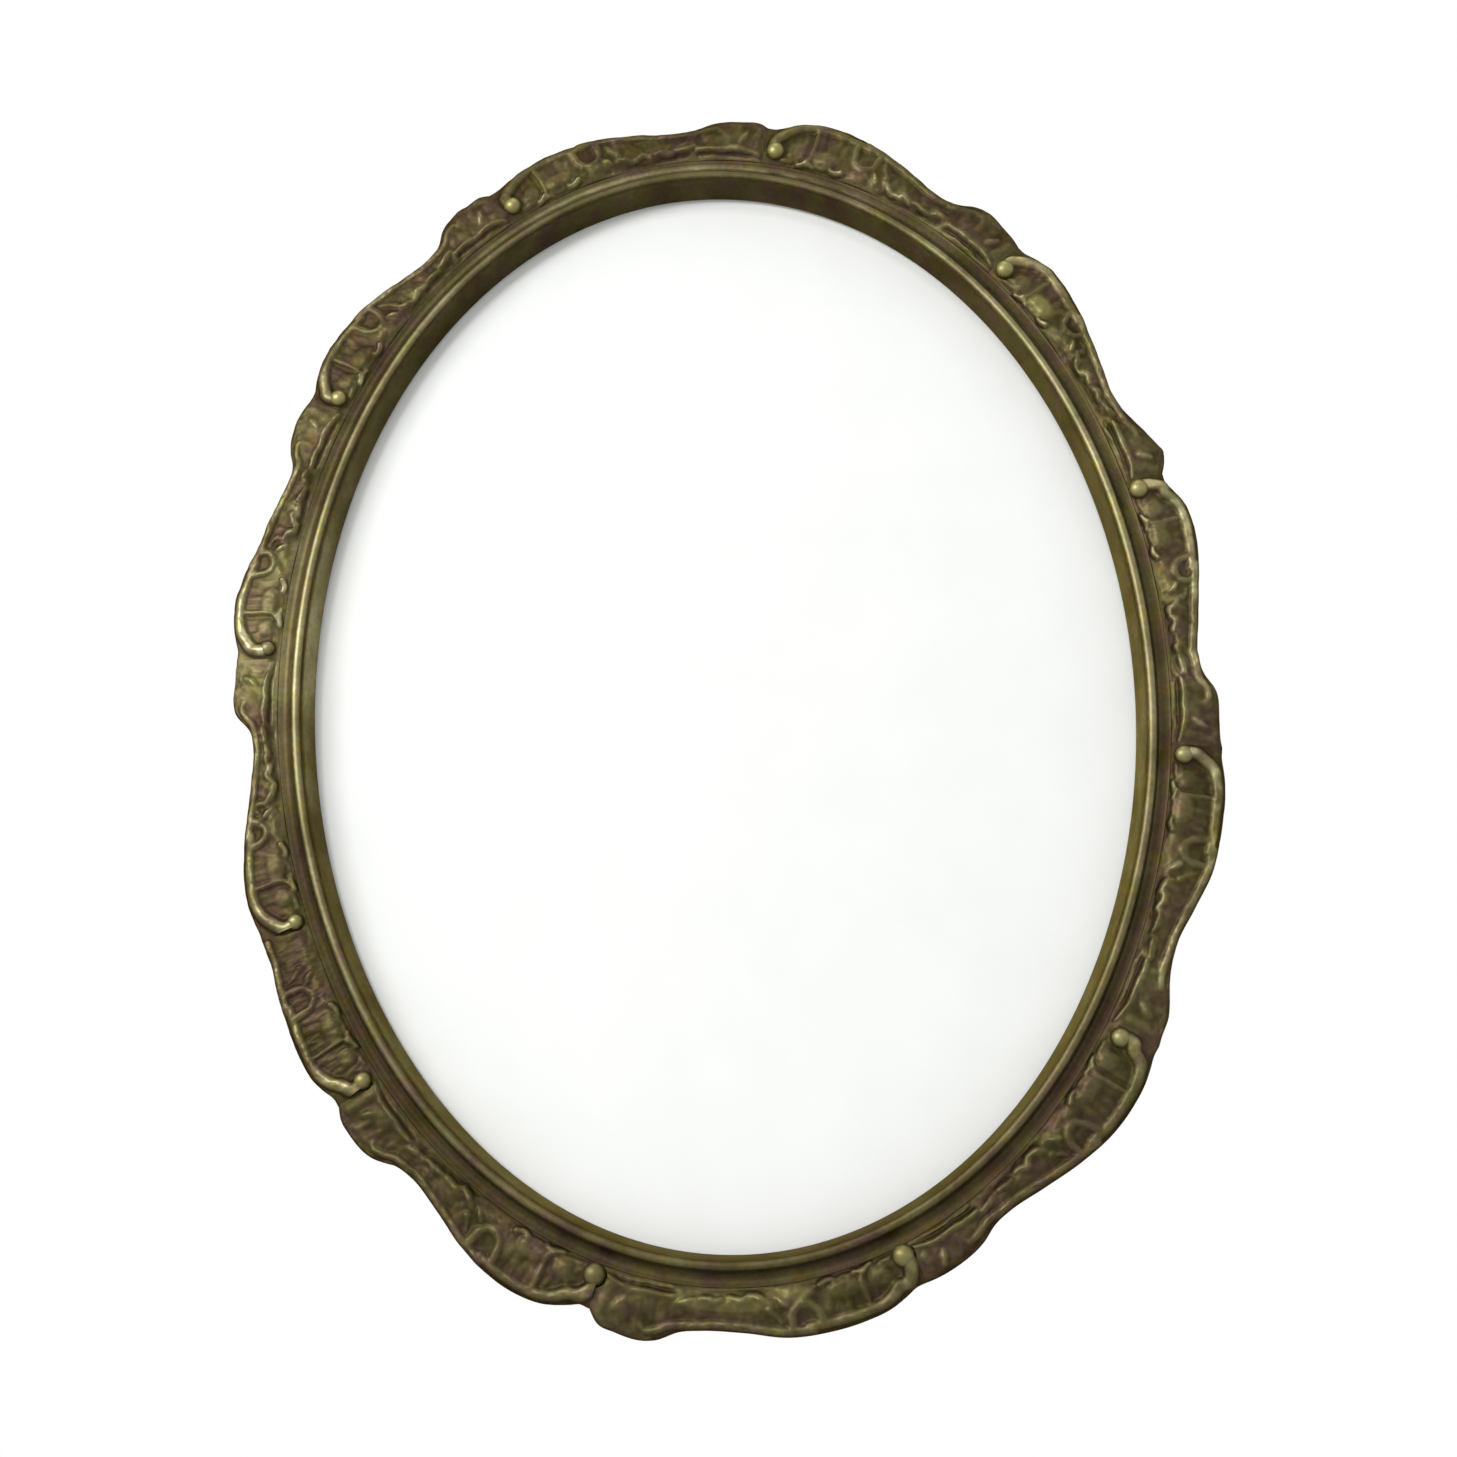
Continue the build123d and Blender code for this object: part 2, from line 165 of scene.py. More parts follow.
# %% [markdown]
# The frame hangs, so the floor is a plain pale surface a hand's breadth below it.
# It keeps the frame's soft shadow in the views that look down on it, and it
# throws a little light up at the undersides, as a real studio table does.

# %% Floor
FLOOR_GAP = 0.16
FLOOR_HALF = 1.3


def material_base(name):
    """New node material with one Principled shader that feeds its output."""
    material = bpy.data.materials.new(name)
    material.use_nodes = True
    tree = material.node_tree
    tree.nodes.clear()
    out = tree.nodes.new("ShaderNodeOutputMaterial")
    shader = tree.nodes.new("ShaderNodeBsdfPrincipled")
    tree.links.new(shader.outputs[0], out.inputs["Surface"])
    return material, tree, shader


def add_floor():
    """Pale square below the frame, which isn't part of it."""
    bm = bmesh.new()
    bmesh.ops.create_grid(bm, x_segments=1, y_segments=1, size=FLOOR_HALF)
    low = cad_box[0][2] - FLOOR_GAP
    bmesh.ops.translate(bm, verts=bm.verts, vec=(0, 0, low))
    mesh = bpy.data.meshes.new("floor")
    bm.to_mesh(mesh)
    bm.free()
    floor = bpy.data.objects.new("floor", mesh)
    bpy.context.collection.objects.link(floor)
    material, _, shader = material_base("floor_paint")
    shader.inputs["Base Color"].default_value = (0.86, 0.86, 0.85, 1)
    shader.inputs["Roughness"].default_value = 0.9
    mesh.materials.append(material)
    print("floor", round(FLOOR_GAP / MM), "mm below the frame")


add_floor()

# %% [markdown]
# Everything on the frame is placed by two numbers: how far along the band, which
# runs clockwise from the first knob, and how far out from the sight edge. These
# two helpers turn them into a place, as the real maker's templates did. The sizes
# come from the glass, which is a standard oval.

# %% The oval's own coordinates
glass_low, glass_high = (Vector(corner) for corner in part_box("glass_pane"))
SIGHT_OVERLAP = 6.0 * MM
SIGHT_X = (glass_high.x - glass_low.x) / 2 - SIGHT_OVERLAP
SIGHT_Z = (glass_high.z - glass_low.z) / 2 - SIGHT_OVERLAP
KNOB_REACH = 15.25 * MM
FIRST_KNOB_SHARE = 0.2233
WHOLE_LENGTHS = 11
CUT_SHARE = 0.604
CUT_LENGTH = 7
LENGTH_COUNT = 12
TURN_STEPS = 4001

turn_table = np.linspace(0, 2 * math.pi, TURN_STEPS)
knob_x = (SIGHT_X + KNOB_REACH) * np.cos(turn_table)
knob_z = (SIGHT_Z + KNOB_REACH) * np.sin(turn_table)
step_lengths = np.hypot(np.diff(knob_x), np.diff(knob_z))
along_table = np.concatenate([[0], np.cumsum(step_lengths)])
PERIMETER = along_table[-1]
PITCH = PERIMETER / (WHOLE_LENGTHS + CUT_SHARE)
print("perimeter", round(PERIMETER / MM, 1), "mm, pitch", round(PITCH / MM, 1), "mm")


def turn_at(along):
    """Oval angle at a distance clockwise from the first knob."""
    place = np.mod(FIRST_KNOB_SHARE * PERIMETER - along, PERIMETER)
    return np.interp(place, along_table, turn_table)


def place_at(turn, reach, height):
    """Points at oval angles, reaches from the sight edge and heights to the front."""
    out_x, out_z = np.cos(turn) / SIGHT_X, np.sin(turn) / SIGHT_Z
    size = np.hypot(out_x, out_z)
    x = SIGHT_X * np.cos(turn) + reach * out_x / size
    z = SIGHT_Z * np.sin(turn) + reach * out_z / size
    return np.stack([x, -height + 0 * x, z], axis=-1)


# %% [markdown]
# Old bronze paint is three layers deep: a nearly black umber in the hollows, olive
# brown on the flats, and pale brass where years of dusting have rubbed it. One
# material with a value per point for wear and painted light mixes the three, so the same finish
# serves the slip, the moulding's front and the ornament.

# %% Material helpers
def noise(tree, coords, scale, detail, rough=0.55):
    """Cloudy grey pattern at a scale per metre."""
    node = tree.nodes.new("ShaderNodeTexNoise")
    node.inputs["Scale"].default_value = scale
    node.inputs["Detail"].default_value = detail
    node.inputs["Roughness"].default_value = rough
    tree.links.new(coords, node.inputs["Vector"])
    return node.outputs["Fac"]


def ramp(tree, value, stops):
    """Colour ramp through (position, colour) stops."""
    node = tree.nodes.new("ShaderNodeValToRGB")
    band = node.color_ramp
    while len(band.elements) < len(stops):
        band.elements.new(0.5)
    for element, (position, colour) in zip(band.elements, stops):
        element.position = position
        element.color = (*colour, 1)
    tree.links.new(value, node.inputs["Fac"])
    return node.outputs["Color"]


def join(tree, value, socket):
    """Links an output to a socket, or sets the socket to a plain value."""
    if hasattr(value, "is_output"):
        tree.links.new(value, socket)
    elif isinstance(value, tuple):
        socket.default_value = (*value, 1)
    else:
        socket.default_value = value


def sums(tree, operation, *values):
    """Math node on one to three values."""
    node = tree.nodes.new("ShaderNodeMath")
    node.operation = operation
    for socket, value in zip(node.inputs, values):
        join(tree, value, socket)
    return node.outputs[0]


def blend_colours(tree, share, first, second, kind="MIX"):
    """Second colour over the first, by a share from 0 to 1."""
    node = tree.nodes.new("ShaderNodeMix")
    node.data_type = "RGBA"
    node.blend_type = kind
    join(tree, share, node.inputs["Factor"])
    join(tree, first, node.inputs[6])
    join(tree, second, node.inputs[7])
    return node.outputs[2]


def cast(tree, share, gain, colour, tint):
    """Colour multiplied by a tint, where the share times the gain is above zero."""
    share = sums(tree, "MULTIPLY", share, gain)
    share = sums(tree, "MINIMUM", sums(tree, "MAXIMUM", share, 0.0), 1.0)
    return blend_colours(tree, share, colour, tint, "MULTIPLY")


def point_value(tree, name):
    """Value that the mesh holds at each of its points under a name."""
    node = tree.nodes.new("ShaderNodeAttribute")
    node.attribute_name = name
    return node.outputs["Fac"]


def object_coords(tree):
    """Places on the piece in metres, which stay with it when it moves."""
    return tree.nodes.new("ShaderNodeTexCoord").outputs["Object"]


def add_bump(tree, shader, height, strength, distance):
    """Fine relief on a shader's surface, from a height value."""
    node = tree.nodes.new("ShaderNodeBump")
    node.inputs["Strength"].default_value = strength
    node.inputs["Distance"].default_value = distance
    tree.links.new(height, node.inputs["Height"])
    tree.links.new(node.outputs["Normal"], shader.inputs["Normal"])


def show_mix(tree, share, first, second):
    """Sends a mix of two shaders to the material's output."""
    both = tree.nodes.new("ShaderNodeMixShader")
    tree.links.new(share, both.inputs["Fac"])
    tree.links.new(first.outputs[0], both.inputs[1])
    tree.links.new(second.outputs[0], both.inputs[2])
    out = next(node for node in tree.nodes if node.type == "OUTPUT_MATERIAL")
    tree.links.new(both.outputs[0], out.inputs["Surface"])


print("material helpers are ready")

# %% [markdown]
# The paint's colour is a ramp from umber to brass, read at the point value of wear and painted
# light with a little cloud added, so that no rubbed edge is even. Three weak tints lie over it in
# patches: plum in the dark places, green where the bronze has turned, and ochre where
# the old lacquer has yellowed. Touches of brighter gilt are a second point value.

# %% Aged bronze
BRONZE_STEPS = [
    (0.02, (0.027, 0.0200, 0.0080)),
    (0.22, (0.048, 0.0365, 0.0158)),
    (0.40, (0.079, 0.062, 0.0285)),
    (0.60, (0.131, 0.107, 0.053)),
    (0.80, (0.235, 0.202, 0.110)),
    (1.00, (0.420, 0.375, 0.235)),
]
GILT = (0.27, 0.245, 0.085)
PLUM_CAST = (1.00, 0.85, 1.20)
GREEN_CAST = (0.90, 1.01, 0.88)
OCHRE_CAST = (1.06, 1.02, 0.72)


def aged_bronze(name):
    """Bronze paint that is dark in hollows and shows brass where it is rubbed or painted lighter.
    """
    material, tree, shader = material_base(name)
    coords = object_coords(tree)
    wear_and_light = point_value(tree, "wear_and_light")
    broad = noise(tree, coords, 60.0, 3.0)
    fine = noise(tree, coords, 620.0, 4.0)
    grain = noise(tree, coords, 2300.0, 2.0)
    patch = sums(tree, "MULTIPLY_ADD", broad, 0.50, -0.25)
    speck = sums(tree, "MULTIPLY_ADD", fine, 0.30, -0.15)
    level = sums(tree, "ADD", sums(tree, "ADD", wear_and_light, patch), speck)
    colour = ramp(tree, level, BRONZE_STEPS)
    hue = noise(tree, coords, 105.0, 2.0)
    warmth = noise(tree, coords, 160.0, 2.0)
    plum = sums(tree, "MULTIPLY_ADD", level, -0.48, sums(tree, "SUBTRACT", hue, 0.31))
    colour = cast(tree, plum, 7.0, colour, PLUM_CAST)
    colour = cast(tree, sums(tree, "SUBTRACT", 0.50, hue), 6.0, colour, GREEN_CAST)
    colour = cast(tree, sums(tree, "SUBTRACT", warmth, 0.52), 6.0, colour, OCHRE_CAST)
    colour = blend_colours(tree, point_value(tree, "gilt"), colour, GILT)
    tree.links.new(colour, shader.inputs["Base Color"])
    shader.inputs["Metallic"].default_value = 1.0
    shader.inputs["Specular Tint"].default_value = (0.62, 0.55, 0.36, 1)
    rough = sums(tree, "MULTIPLY_ADD", level, -0.16, 0.50)
    rough = sums(tree, "MULTIPLY_ADD", fine, 0.14, rough)
    tree.links.new(rough, shader.inputs["Roughness"])
    height = sums(tree, "MULTIPLY_ADD", grain, 0.30, fine)
    add_bump(tree, shader, height, 0.25, 0.0003)
    return material


bronze = aged_bronze("bronze_paint")
print("bronze paint nodes:", len(bronze.node_tree.nodes))

# %% [markdown]
# Each length of ornament is a pressing, so it is one raised sheet with a flat back.
# It could be built from many small solids, but a real pressing has no seams, and a
# sheet that is raised point by point gives the same soft joins. A grid is laid over
# the length's plan, its points are lifted by a relief in the length's own
# coordinates, then its border is extruded back to the seat and closed. The outline
# is a smooth curve through listed places. A row of small nudges then gives each
# pressing its own edge, as filing does, so that the twelve aren't copies.

# %% Outline of a length
BAND_WIDTH = 28.8
SEAT_HEIGHT = 2.0
ORNAMENT_REACH = 10.6
JOIN_LEAD = 2.6
BUTT_GAP = 0.03
END_LIFT = 0.1
CREST_ALONG, SHOULDER_ALONG, VALLEY_ALONG = 0.177, 0.393, 0.648
RISE_ALONG, LEAF_ALONG, NOTCH_ALONG = 0.776, 0.884, 0.006
POINTED_LENGTH = 1
REACH_SHARES = [
    (0.88, 1.110, 0.98, 0.765, 0.970, 0.965),
    (0.91, 0.990, 0.855, 0.68, 0.790, 0.940),
    (0.84, 1.000, 0.885, 0.73, 0.905, 0.940),
    (0.97, 1.045, 1.00, 0.795, 0.845, 0.980),
    (1.00, 1.075, 0.955, 0.74, 0.830, 0.870),
    (0.85, 0.970, 0.95, 0.84, 1.010, 1.035),
    (0.86, 1.075, 0.975, 0.785, 0.970, 1.030),
    (0.95, 1.060, 0.99, 0.95, 0.950, 0.950),
    (0.98, 1.000, 0.82, 0.66, 0.890, 0.920),
    (0.91, 1.035, 0.865, 0.73, 0.865, 0.940),
    (0.89, 1.040, 0.93, 0.71, 0.915, 0.970),
    (0.88, 1.000, 0.95, 0.78, 0.910, 0.980),
]
pitch_mm = PITCH / MM


def mix(low, high, share):
    """Value between two others, by a share from 0 to 1."""
    return low + (high - low) * share


def length_span(number):
    """Length of the band that one pressing covers, in millimetres."""
    return pitch_mm * (CUT_SHARE if number == CUT_LENGTH else 1)


def outline_spots(number):
    """Listed outline of one length: places along it and reaches, in millimetres."""
    notch, crest, shoulder, valley, rise, leaf = (s * BAND_WIDTH for s in REACH_SHARES[number])
    next_notch = REACH_SHARES[(number + 1) % LENGTH_COUNT][0] * BAND_WIDTH
    rows = [
        (NOTCH_ALONG, notch),
        (mix(NOTCH_ALONG, CREST_ALONG, 0.22), mix(notch, crest, 0.36)),
        (mix(NOTCH_ALONG, CREST_ALONG, 0.52), mix(notch, crest, 0.80)),
        (CREST_ALONG, crest),
        (mix(CREST_ALONG, SHOULDER_ALONG, 0.48), mix(crest, shoulder, 0.25)),
        (SHOULDER_ALONG, shoulder),
    ]
    if number != CUT_LENGTH:
        rows += [
            (mix(SHOULDER_ALONG, VALLEY_ALONG, 0.5), mix(shoulder, valley, 0.54)),
            (VALLEY_ALONG, valley),
            (mix(VALLEY_ALONG, RISE_ALONG, 0.52), mix(valley, rise, 0.20)),
            (RISE_ALONG, rise),
        ]
        if number == POINTED_LENGTH:
            rows += [(0.84, leaf - 1.6), (0.875, leaf - 0.3), (0.894, leaf + 0.55)]
            rows += [(0.906, leaf + 0.35), (0.955, mix(leaf, next_notch, 0.55))]
        else:
            rows += [(LEAF_ALONG, leaf)]
            rows += [(mix(LEAF_ALONG, 1.0, 0.55), mix(leaf, next_notch, 0.35))]
    else:
        rows += [(mix(SHOULDER_ALONG, CUT_SHARE, 0.45), valley)]
    lead = -JOIN_LEAD + BUTT_GAP / 2
    tail = length_span(number) - JOIN_LEAD - BUTT_GAP / 2
    rows = [(lead, notch + END_LIFT)] + [(s * pitch_mm, r) for s, r in rows]
    rows += [(tail, next_notch + END_LIFT)]
    return np.array([(place, reach + nudge(number, place)) for place, reach in rows])


NUDGE_STEP, NUDGE_LAST_GAP = 8.0, 3
NUDGES = [
    (0.7, 0.2, 0.1, 0.1, 0.1, 0.5, 0.5, 0.5, 0.8, 1.5, 0.8, 0.7, 0.0),
    (0.0, 1.4, 0.9, 0.2, -0.2, 0.3, 0.2, 0.1, 0.3, 1.0, 0.5, 0.3, 0.0),
    (0.0, 0.4, 0.4, 0.2, 0.0, 0.2, 0.2, 0.1, 0.3, 0.7, 0.3, 0.2, 0.2),
    (0.1, 0.0, -0.2, -0.1, 0.0, 0.0, 0.0, -0.1, 0.0, 0.0, 0.2, 0.0, 0.3),
    (0.3, 0.2, 0.0, 0.1, 0.1, 0.2, 0.1, 0.0, 0.4, 0.0, 0.1, 0.2, 0.2),
    (0.1, 0.0, 0.0, 0.3, 0.3, 0.1, -0.3, -1.2, 0.1, 0.5, 0.1, -0.2, -0.1),
    (0.2, -0.6, -0.4, 0.0, 0.1, 0.0, -0.4, -0.9, -0.1, 0.4, 0.0, 0.0, 0.0),
    (0.0, 0.7, 0.3, -0.2, 0.1, 0.3, 0.4, -0.6, -0.6, 0.0, 0.0, 0.0, 0.0),
    (-0.4, 0.7, 0.5, -0.3, -0.1, 0.7, -0.1, 0.2, 0.6, 0.6, 0.1, 0.2, 0.2),
    (0.3, 0.0, 0.3, 0.2, 0.1, 0.7, 0.7, 1.1, 0.9, -0.1, 0.5, 0.6, 0.8),
    (0.8, 0.4, 0.7, 0.7, 0.6, 1.0, 1.4, 0.5, 0.5, 0.7, 0.7, 0.8, 1.3),
    (1.1, 0.4, 0.8, 1.0, 1.1, 0.9, 0.9, 0.7, 0.8, 0.7, 0.3, 0.1, 0.6),
]


def nudge(number, along):
    """Small correction of the outline's reach, which ends at the next length's first."""
    span = length_span(number)
    rows = [(NUDGE_STEP * index, value) for index, value in enumerate(NUDGES[number])]
    rows = [(place, value) for place, value in rows if place < span - NUDGE_LAST_GAP]
    rows.append((span, NUDGES[(number + 1) % LENGTH_COUNT][0]))
    knots, values = np.array(rows).T
    return np.interp(along, knots, values)


def smooth_curve(knots, values, places):
    """Cubic curve through the knots, with slopes taken from the neighbours."""
    slopes = np.gradient(values, knots)
    index = np.clip(np.searchsorted(knots, places) - 1, 0, len(knots) - 2)
    gap = knots[index + 1] - knots[index]
    t = (places - knots[index]) / gap
    h00, h10 = 2 * t**3 - 3 * t**2 + 1, t**3 - 2 * t**2 + t
    h01, h11 = -2 * t**3 + 3 * t**2, t**3 - t**2
    return (
        h00 * values[index]
        + h10 * gap * slopes[index]
        + h01 * values[index + 1]
        + h11 * gap * slopes[index + 1]
    )


def length_start(number):
    """Distance in millimetres from the first knob to this length's knob."""
    start = number * pitch_mm
    if number > CUT_LENGTH:
        start -= (1 - CUT_SHARE) * pitch_mm
    return start


print("lengths:", LENGTH_COUNT, "cut one:", CUT_LENGTH + 1)

# %% [markdown]
# The relief is drawn as a carver would draw it: strokes with a round section, small
# balls, soft swells, sunk panels and shallow cuts. Each stroke is a line through a
# few places, with a width, a rise and a rub that may fade along it. The rub says how
# bright years of dusting have made its top. The highest stroke wins at each point,
# which gives the crisp crossings of a pressed leaf.

# %% Strokes, balls, panels and cuts
PANEL_DIRT, CUT_DIRT = 0.13, 0.25


def ease(value, low, high):
    """Soft step from 0 at low to 1 at high."""
    t = np.clip((value - low) / (high - low), 0, 1)
    return t * t * (3 - 2 * t)


def stroke_distance(along, reach, path):
    """Distance to a line through the path's points, and how far along it that is."""
    best = np.full(along.shape, 1e9)
    share = np.zeros(along.shape)
    lengths = np.hypot(*np.diff(path, axis=0).T)
    total = lengths.sum()
    done = 0.0
    for start, end, length in zip(path, path[1:], lengths):
        run = end - start
        t = ((along - start[0]) * run[0] + (reach - start[1]) * run[1]) / max(length**2, 1e-9)
        t = np.clip(t, 0, 1)
        gap = np.hypot(along - start[0] - t * run[0], reach - start[1] - t * run[1])
        near = gap < best
        best = np.where(near, gap, best)
        share = np.where(near, (done + t * length) / total, share)
        done += length
    return best, share


def bend(points, steps=8):
    """Smooth line through a few points, as a chain of short runs."""
    points = np.array(points, dtype=float)
    knots = np.arange(len(points))
    places = np.linspace(0, len(points) - 1, (len(points) - 1) * steps + 1)
    return np.stack([smooth_curve(knots, points[:, k], places) for k in (0, 1)], axis=-1)


class Relief:
    """Raised strokes over one length's grid: a rise and a rub at every point."""

    def __init__(self, along, reach, edge):
        self.along, self.reach, self.edge = along, reach, edge
        self.rise = np.zeros(along.shape)
        self.rub = np.zeros(along.shape)
        self.polish = 1.0

    def raise_by(self, where, section, rise, rub):
        """Lifts the points to a round section wherever it beats what is there."""
        height = rise * np.sqrt(section)
        wins = height > self.rise[where]
        self.rise[where] = np.where(wins, height, self.rise[where])
        shine = rub * self.polish * section
        self.rub[where] = np.where(wins, shine, self.rub[where])

    def stroke(self, points, radii, rises, rub=0.0, smooth=True):
        """Raised line through points: a rub is one value, or several along the line."""
        path = bend(points) if smooth else np.array(points, dtype=float)
        low, high = path.min(axis=0) - max(radii), path.max(axis=0) + max(radii)
        a, r = self.along, self.reach
        where = (a > low[0]) & (a < high[0]) & (r > low[1]) & (r < high[1])
        distance, share = stroke_distance(a[where], r[where], path)
        radius = np.interp(share, np.linspace(0, 1, len(radii)), radii)
        section = np.clip(1 - (distance / radius) ** 2, 0, 1)
        rise = np.interp(share, np.linspace(0, 1, len(rises)), rises)
        rubs = np.atleast_1d(rub)
        rub = np.interp(share, np.linspace(0, 1, len(rubs)), rubs)
        self.raise_by(where, section, rise, rub)

    def ball(self, centre, radii, rise, rub=0.0):
        """Oval mound: radii are along the band and outwards."""
        across = (self.along - centre[0]) / radii[0]
        out = (self.reach - centre[1]) / radii[1]
        where = (np.abs(across) < 1) & (np.abs(out) < 1)
        section = np.clip(1 - across[where] ** 2 - out[where] ** 2, 0, 1)
        self.raise_by(where, section, rise, rub)

    def swell(self, centre, radii, rise):
        """Broad soft mound that lifts or sinks whatever lies on it."""
        gap = ((self.along - centre[0]) / radii[0]) ** 2
        gap = gap + ((self.reach - centre[1]) / radii[1]) ** 2
        self.rise += rise * np.exp(-1.5 * gap)

    def sink(self, start, stop, low, margin, depth):
        """Sunk panel between two places, from a reach to a margin inside the edge."""
        panel = ease(self.along, start, start + 2) * ease(-self.along, -stop, 2 - stop)
        panel = panel * ease(self.reach, low, low + 1.6)
        panel = panel * ease(self.edge - self.reach, margin, margin + 1.0)
        self.rise -= depth * panel
        self.rub -= PANEL_DIRT * panel

    def cut(self, points, radius, depth):
        """Shallow round groove along a line."""
        path = bend(points)
        low, high = path.min(axis=0) - 2 * radius, path.max(axis=0) + 2 * radius
        a, r = self.along, self.reach
        where = (a > low[0]) & (a < high[0]) & (r > low[1]) & (r < high[1])
        distance = stroke_distance(a[where], r[where], path)[0]
        dip = depth * np.exp(-((distance / radius * 1.4) ** 2))
        self.rise[where] -= dip
        self.rub[where] -= dip * CUT_DIRT


print("carving strokes are ready")


# %% [markdown]
# One length holds, from left to right: the knob with the thick rim roll that hooks
# out of it, a fan field in two sunk panels, a garland hung from the rim, a broad
# petal with its seeds, a ruffled leaf edge over a smooth hollow, and a leaf lobe
# that tucks under the next knob. Places are millimetres along the band and out
# from the sight edge. No two pressings wear alike, so each place is shaken a little
# and each length has its own rub on the rim, which also holds painted shade: it is
# lowest on the lengths at the top of the oval. The knobs were set by eye, so each one
# also leads or lags its length a little.

# %% Face and knobs of one length
HOLLOW_HEIGHT, HOLLOW_REACH = 9.2, 8.4
CROWN_TOP, CROWN_EDGE = 12.0, 10.4
CROWN_REACH = 14.5
# Rim rub per length: wear, lowered as painted shade on the lengths at the top of the oval.
RIM_WEAR_AND_SHADE = (0.09, 0.38, 0.44, 0.44, 0.22, 0.20, 0.18, 0.38, 0.36, 0.34, 0.36, 0.11)
BASE_RUBS = (0.38, 0.40, 0.44, 0.38, 0.36, 0.37, 0.35, 0.33, 0.39, 0.41, 0.33, 0.33)
POLISH = (0.95, 0.90, 0.90, 0.80, 0.60, 0.50, 0.45, 0.50, 0.80, 0.90, 0.90, 0.90)
KNOB_LEADS = (2.0, 1.2, 1.2, 1.2, 1.1, 0.4, -0.8, -0.4, -0.6, 1.4, 1.8, 1.5)
KNOB_SHIFTS = (0.0, 0.0, -1.6, -0.5, 1.3, -1.4, -1.0, 0.4, -0.8, -0.4, 0.6, 0.6)


def knob_spot(number):
    """Place of a length's knob: millimetres along the band and out."""
    return KNOB_LEADS[number], KNOB_REACH / MM + KNOB_SHIFTS[number]


def crown_rise(reach):
    """Height of the face that the relief stands on."""
    share = np.clip((reach - HOLLOW_REACH) / (CROWN_REACH - HOLLOW_REACH), 0, 1)
    soft = ease(reach, HOLLOW_REACH, CROWN_REACH)
    low = mix(HOLLOW_HEIGHT, CROWN_TOP, (share + soft) / 2)
    outer = np.clip((reach - CROWN_REACH) / (BAND_WIDTH - CROWN_REACH), 0, None)
    return np.where(reach < CROWN_REACH, low, mix(CROWN_TOP, CROWN_EDGE, outer**1.5))


print("face from", HOLLOW_HEIGHT, "to", CROWN_TOP, "mm high")

# %% [markdown]
# The rim roll is the boldest form on a length. It could be a swept tube, but a tube
# would stand on the leaf as a wire does, while a stroke grows out of it. It starts
# thick at the knob, follows the outline a few millimetres inside it, and thins out.
# The fan behind it is a sunk field with weak flutes and two low bosses.

# %% Rim and fan
def draw_rim(work, edge, last, cut_short, rub, knob):
    """Thick roll from the knob round the fan, thinner on to the leaf."""
    back, out = knob
    hook = [(back, out), (back - 0.8, out + 2.4), (back - 0.4, out + 4.8)]
    hook += [(mix(back, 4.8, 0.40), 22.0), (5.0, edge(5.0) - 4.1), (8.2, edge(8.2) - 3.3)]
    run = [(place, edge(place) - 2.9) for place in (12.0, 17.0, 23.0, 29.0, 34.0)]
    rubs = (rub + 0.20, rub + 0.12, rub + 0.04, rub, rub, rub)
    work.stroke(hook + run, (2.8, 2.4, 1.9, 1.7, 1.6), (2.5, 2.1, 1.6, 1.3, 1.2), rubs)
    end = last - 1.5 if cut_short else 70.0
    thin = [(place, edge(place) - 1.9) for place in np.linspace(33.0, end, 9)]
    work.stroke(thin, (1.7, 1.5, 1.4, 1.5), (1.3, 1.0, 0.9, 1.0), rub * 0.9)
    if not cut_short:
        climb = [(70.0, edge(70.0) - 2.0), (74.5, edge(74.5) - 2.9), (78.5, edge(78.5) - 3.2)]
        climb += [(82.0, edge(82.0) - 3.6), (83.8, edge(83.8) - 6.0)]
        work.stroke(climb, (1.5, 1.3, 0.9), (1.1, 0.9, 0.4), rub * 0.7)


def draw_fan(work, edge, shake):
    """Two fluted panels with their bosses, inside the rim."""
    work.sink(4.0, 30.0, 12.4, 4.2, 0.85)
    for foot, top in ((7.0, 6.2), (9.8, 9.4), (12.2, 12.4)):
        work.stroke([(foot, 17.0), (top, edge(top) - 5.2)], (1.0, 1.5), (0.12, 0.32), 0.02)
    for foot, top in ((17.6, 17.2), (20.4, 20.8), (23.2, 24.2), (25.8, 27.8)):
        flute = [(foot, 17.4), (top + shake(), edge(top) - 5.2)]
        work.stroke(flute, (1.0, 1.6), (0.12, 0.32), 0.02)
    work.ball((9.6 + shake(), 16.6 + shake()), (3.6, 3.7), 0.75, 0.04)
    work.ball((20.4 + shake(), 16.2 + shake()), (5.6, 3.6), 0.95, 0.06)
    wall = [(15.0, 13.4), (15.5, 17.0), (15.2, edge(15.2) - 4.6)]
    work.stroke(wall, (0.9, 1.1), (0.8, 0.9), 0.13)
    work.cut([(13.4, 13.4), (13.5, edge(13.5) - 5.0)], 1.0, 0.3)
    work.stroke([(11.0, 11.6), (12.6, 12.0), (14.0, 13.0)], (0.9, 1.3), (1.1, 1.5), 0.42)
    work.stroke([(14.0, 12.4), (15.4, 12.5), (17.0, 12.0)], (1.3, 0.8), (1.3, 0.8), 0.30)
    work.stroke([(24.2, 12.2), (26.2, 12.1), (28.4, 13.0)], (0.9, 1.3), (1.0, 1.4), 0.38)
    work.stroke([(4.6, 12.4), (8.0, 12.6), (11.0, 13.4)], (0.9, 0.8), (0.5, 0.5), 0.06)
    work.stroke([(17.0, 13.0), (20.5, 12.4), (24.0, 13.2)], (0.9, 0.8), (0.5, 0.5), 0.06)


print("rim and fan are ready")

# %% [markdown]
# The leaf work between two rims is small and worn, so its strokes are short and low,
# with a bright rub only where a leaf's edge turns up. Each one gets a random shake,
# from a generator with a fixed seed, so the frame is the same on every run.

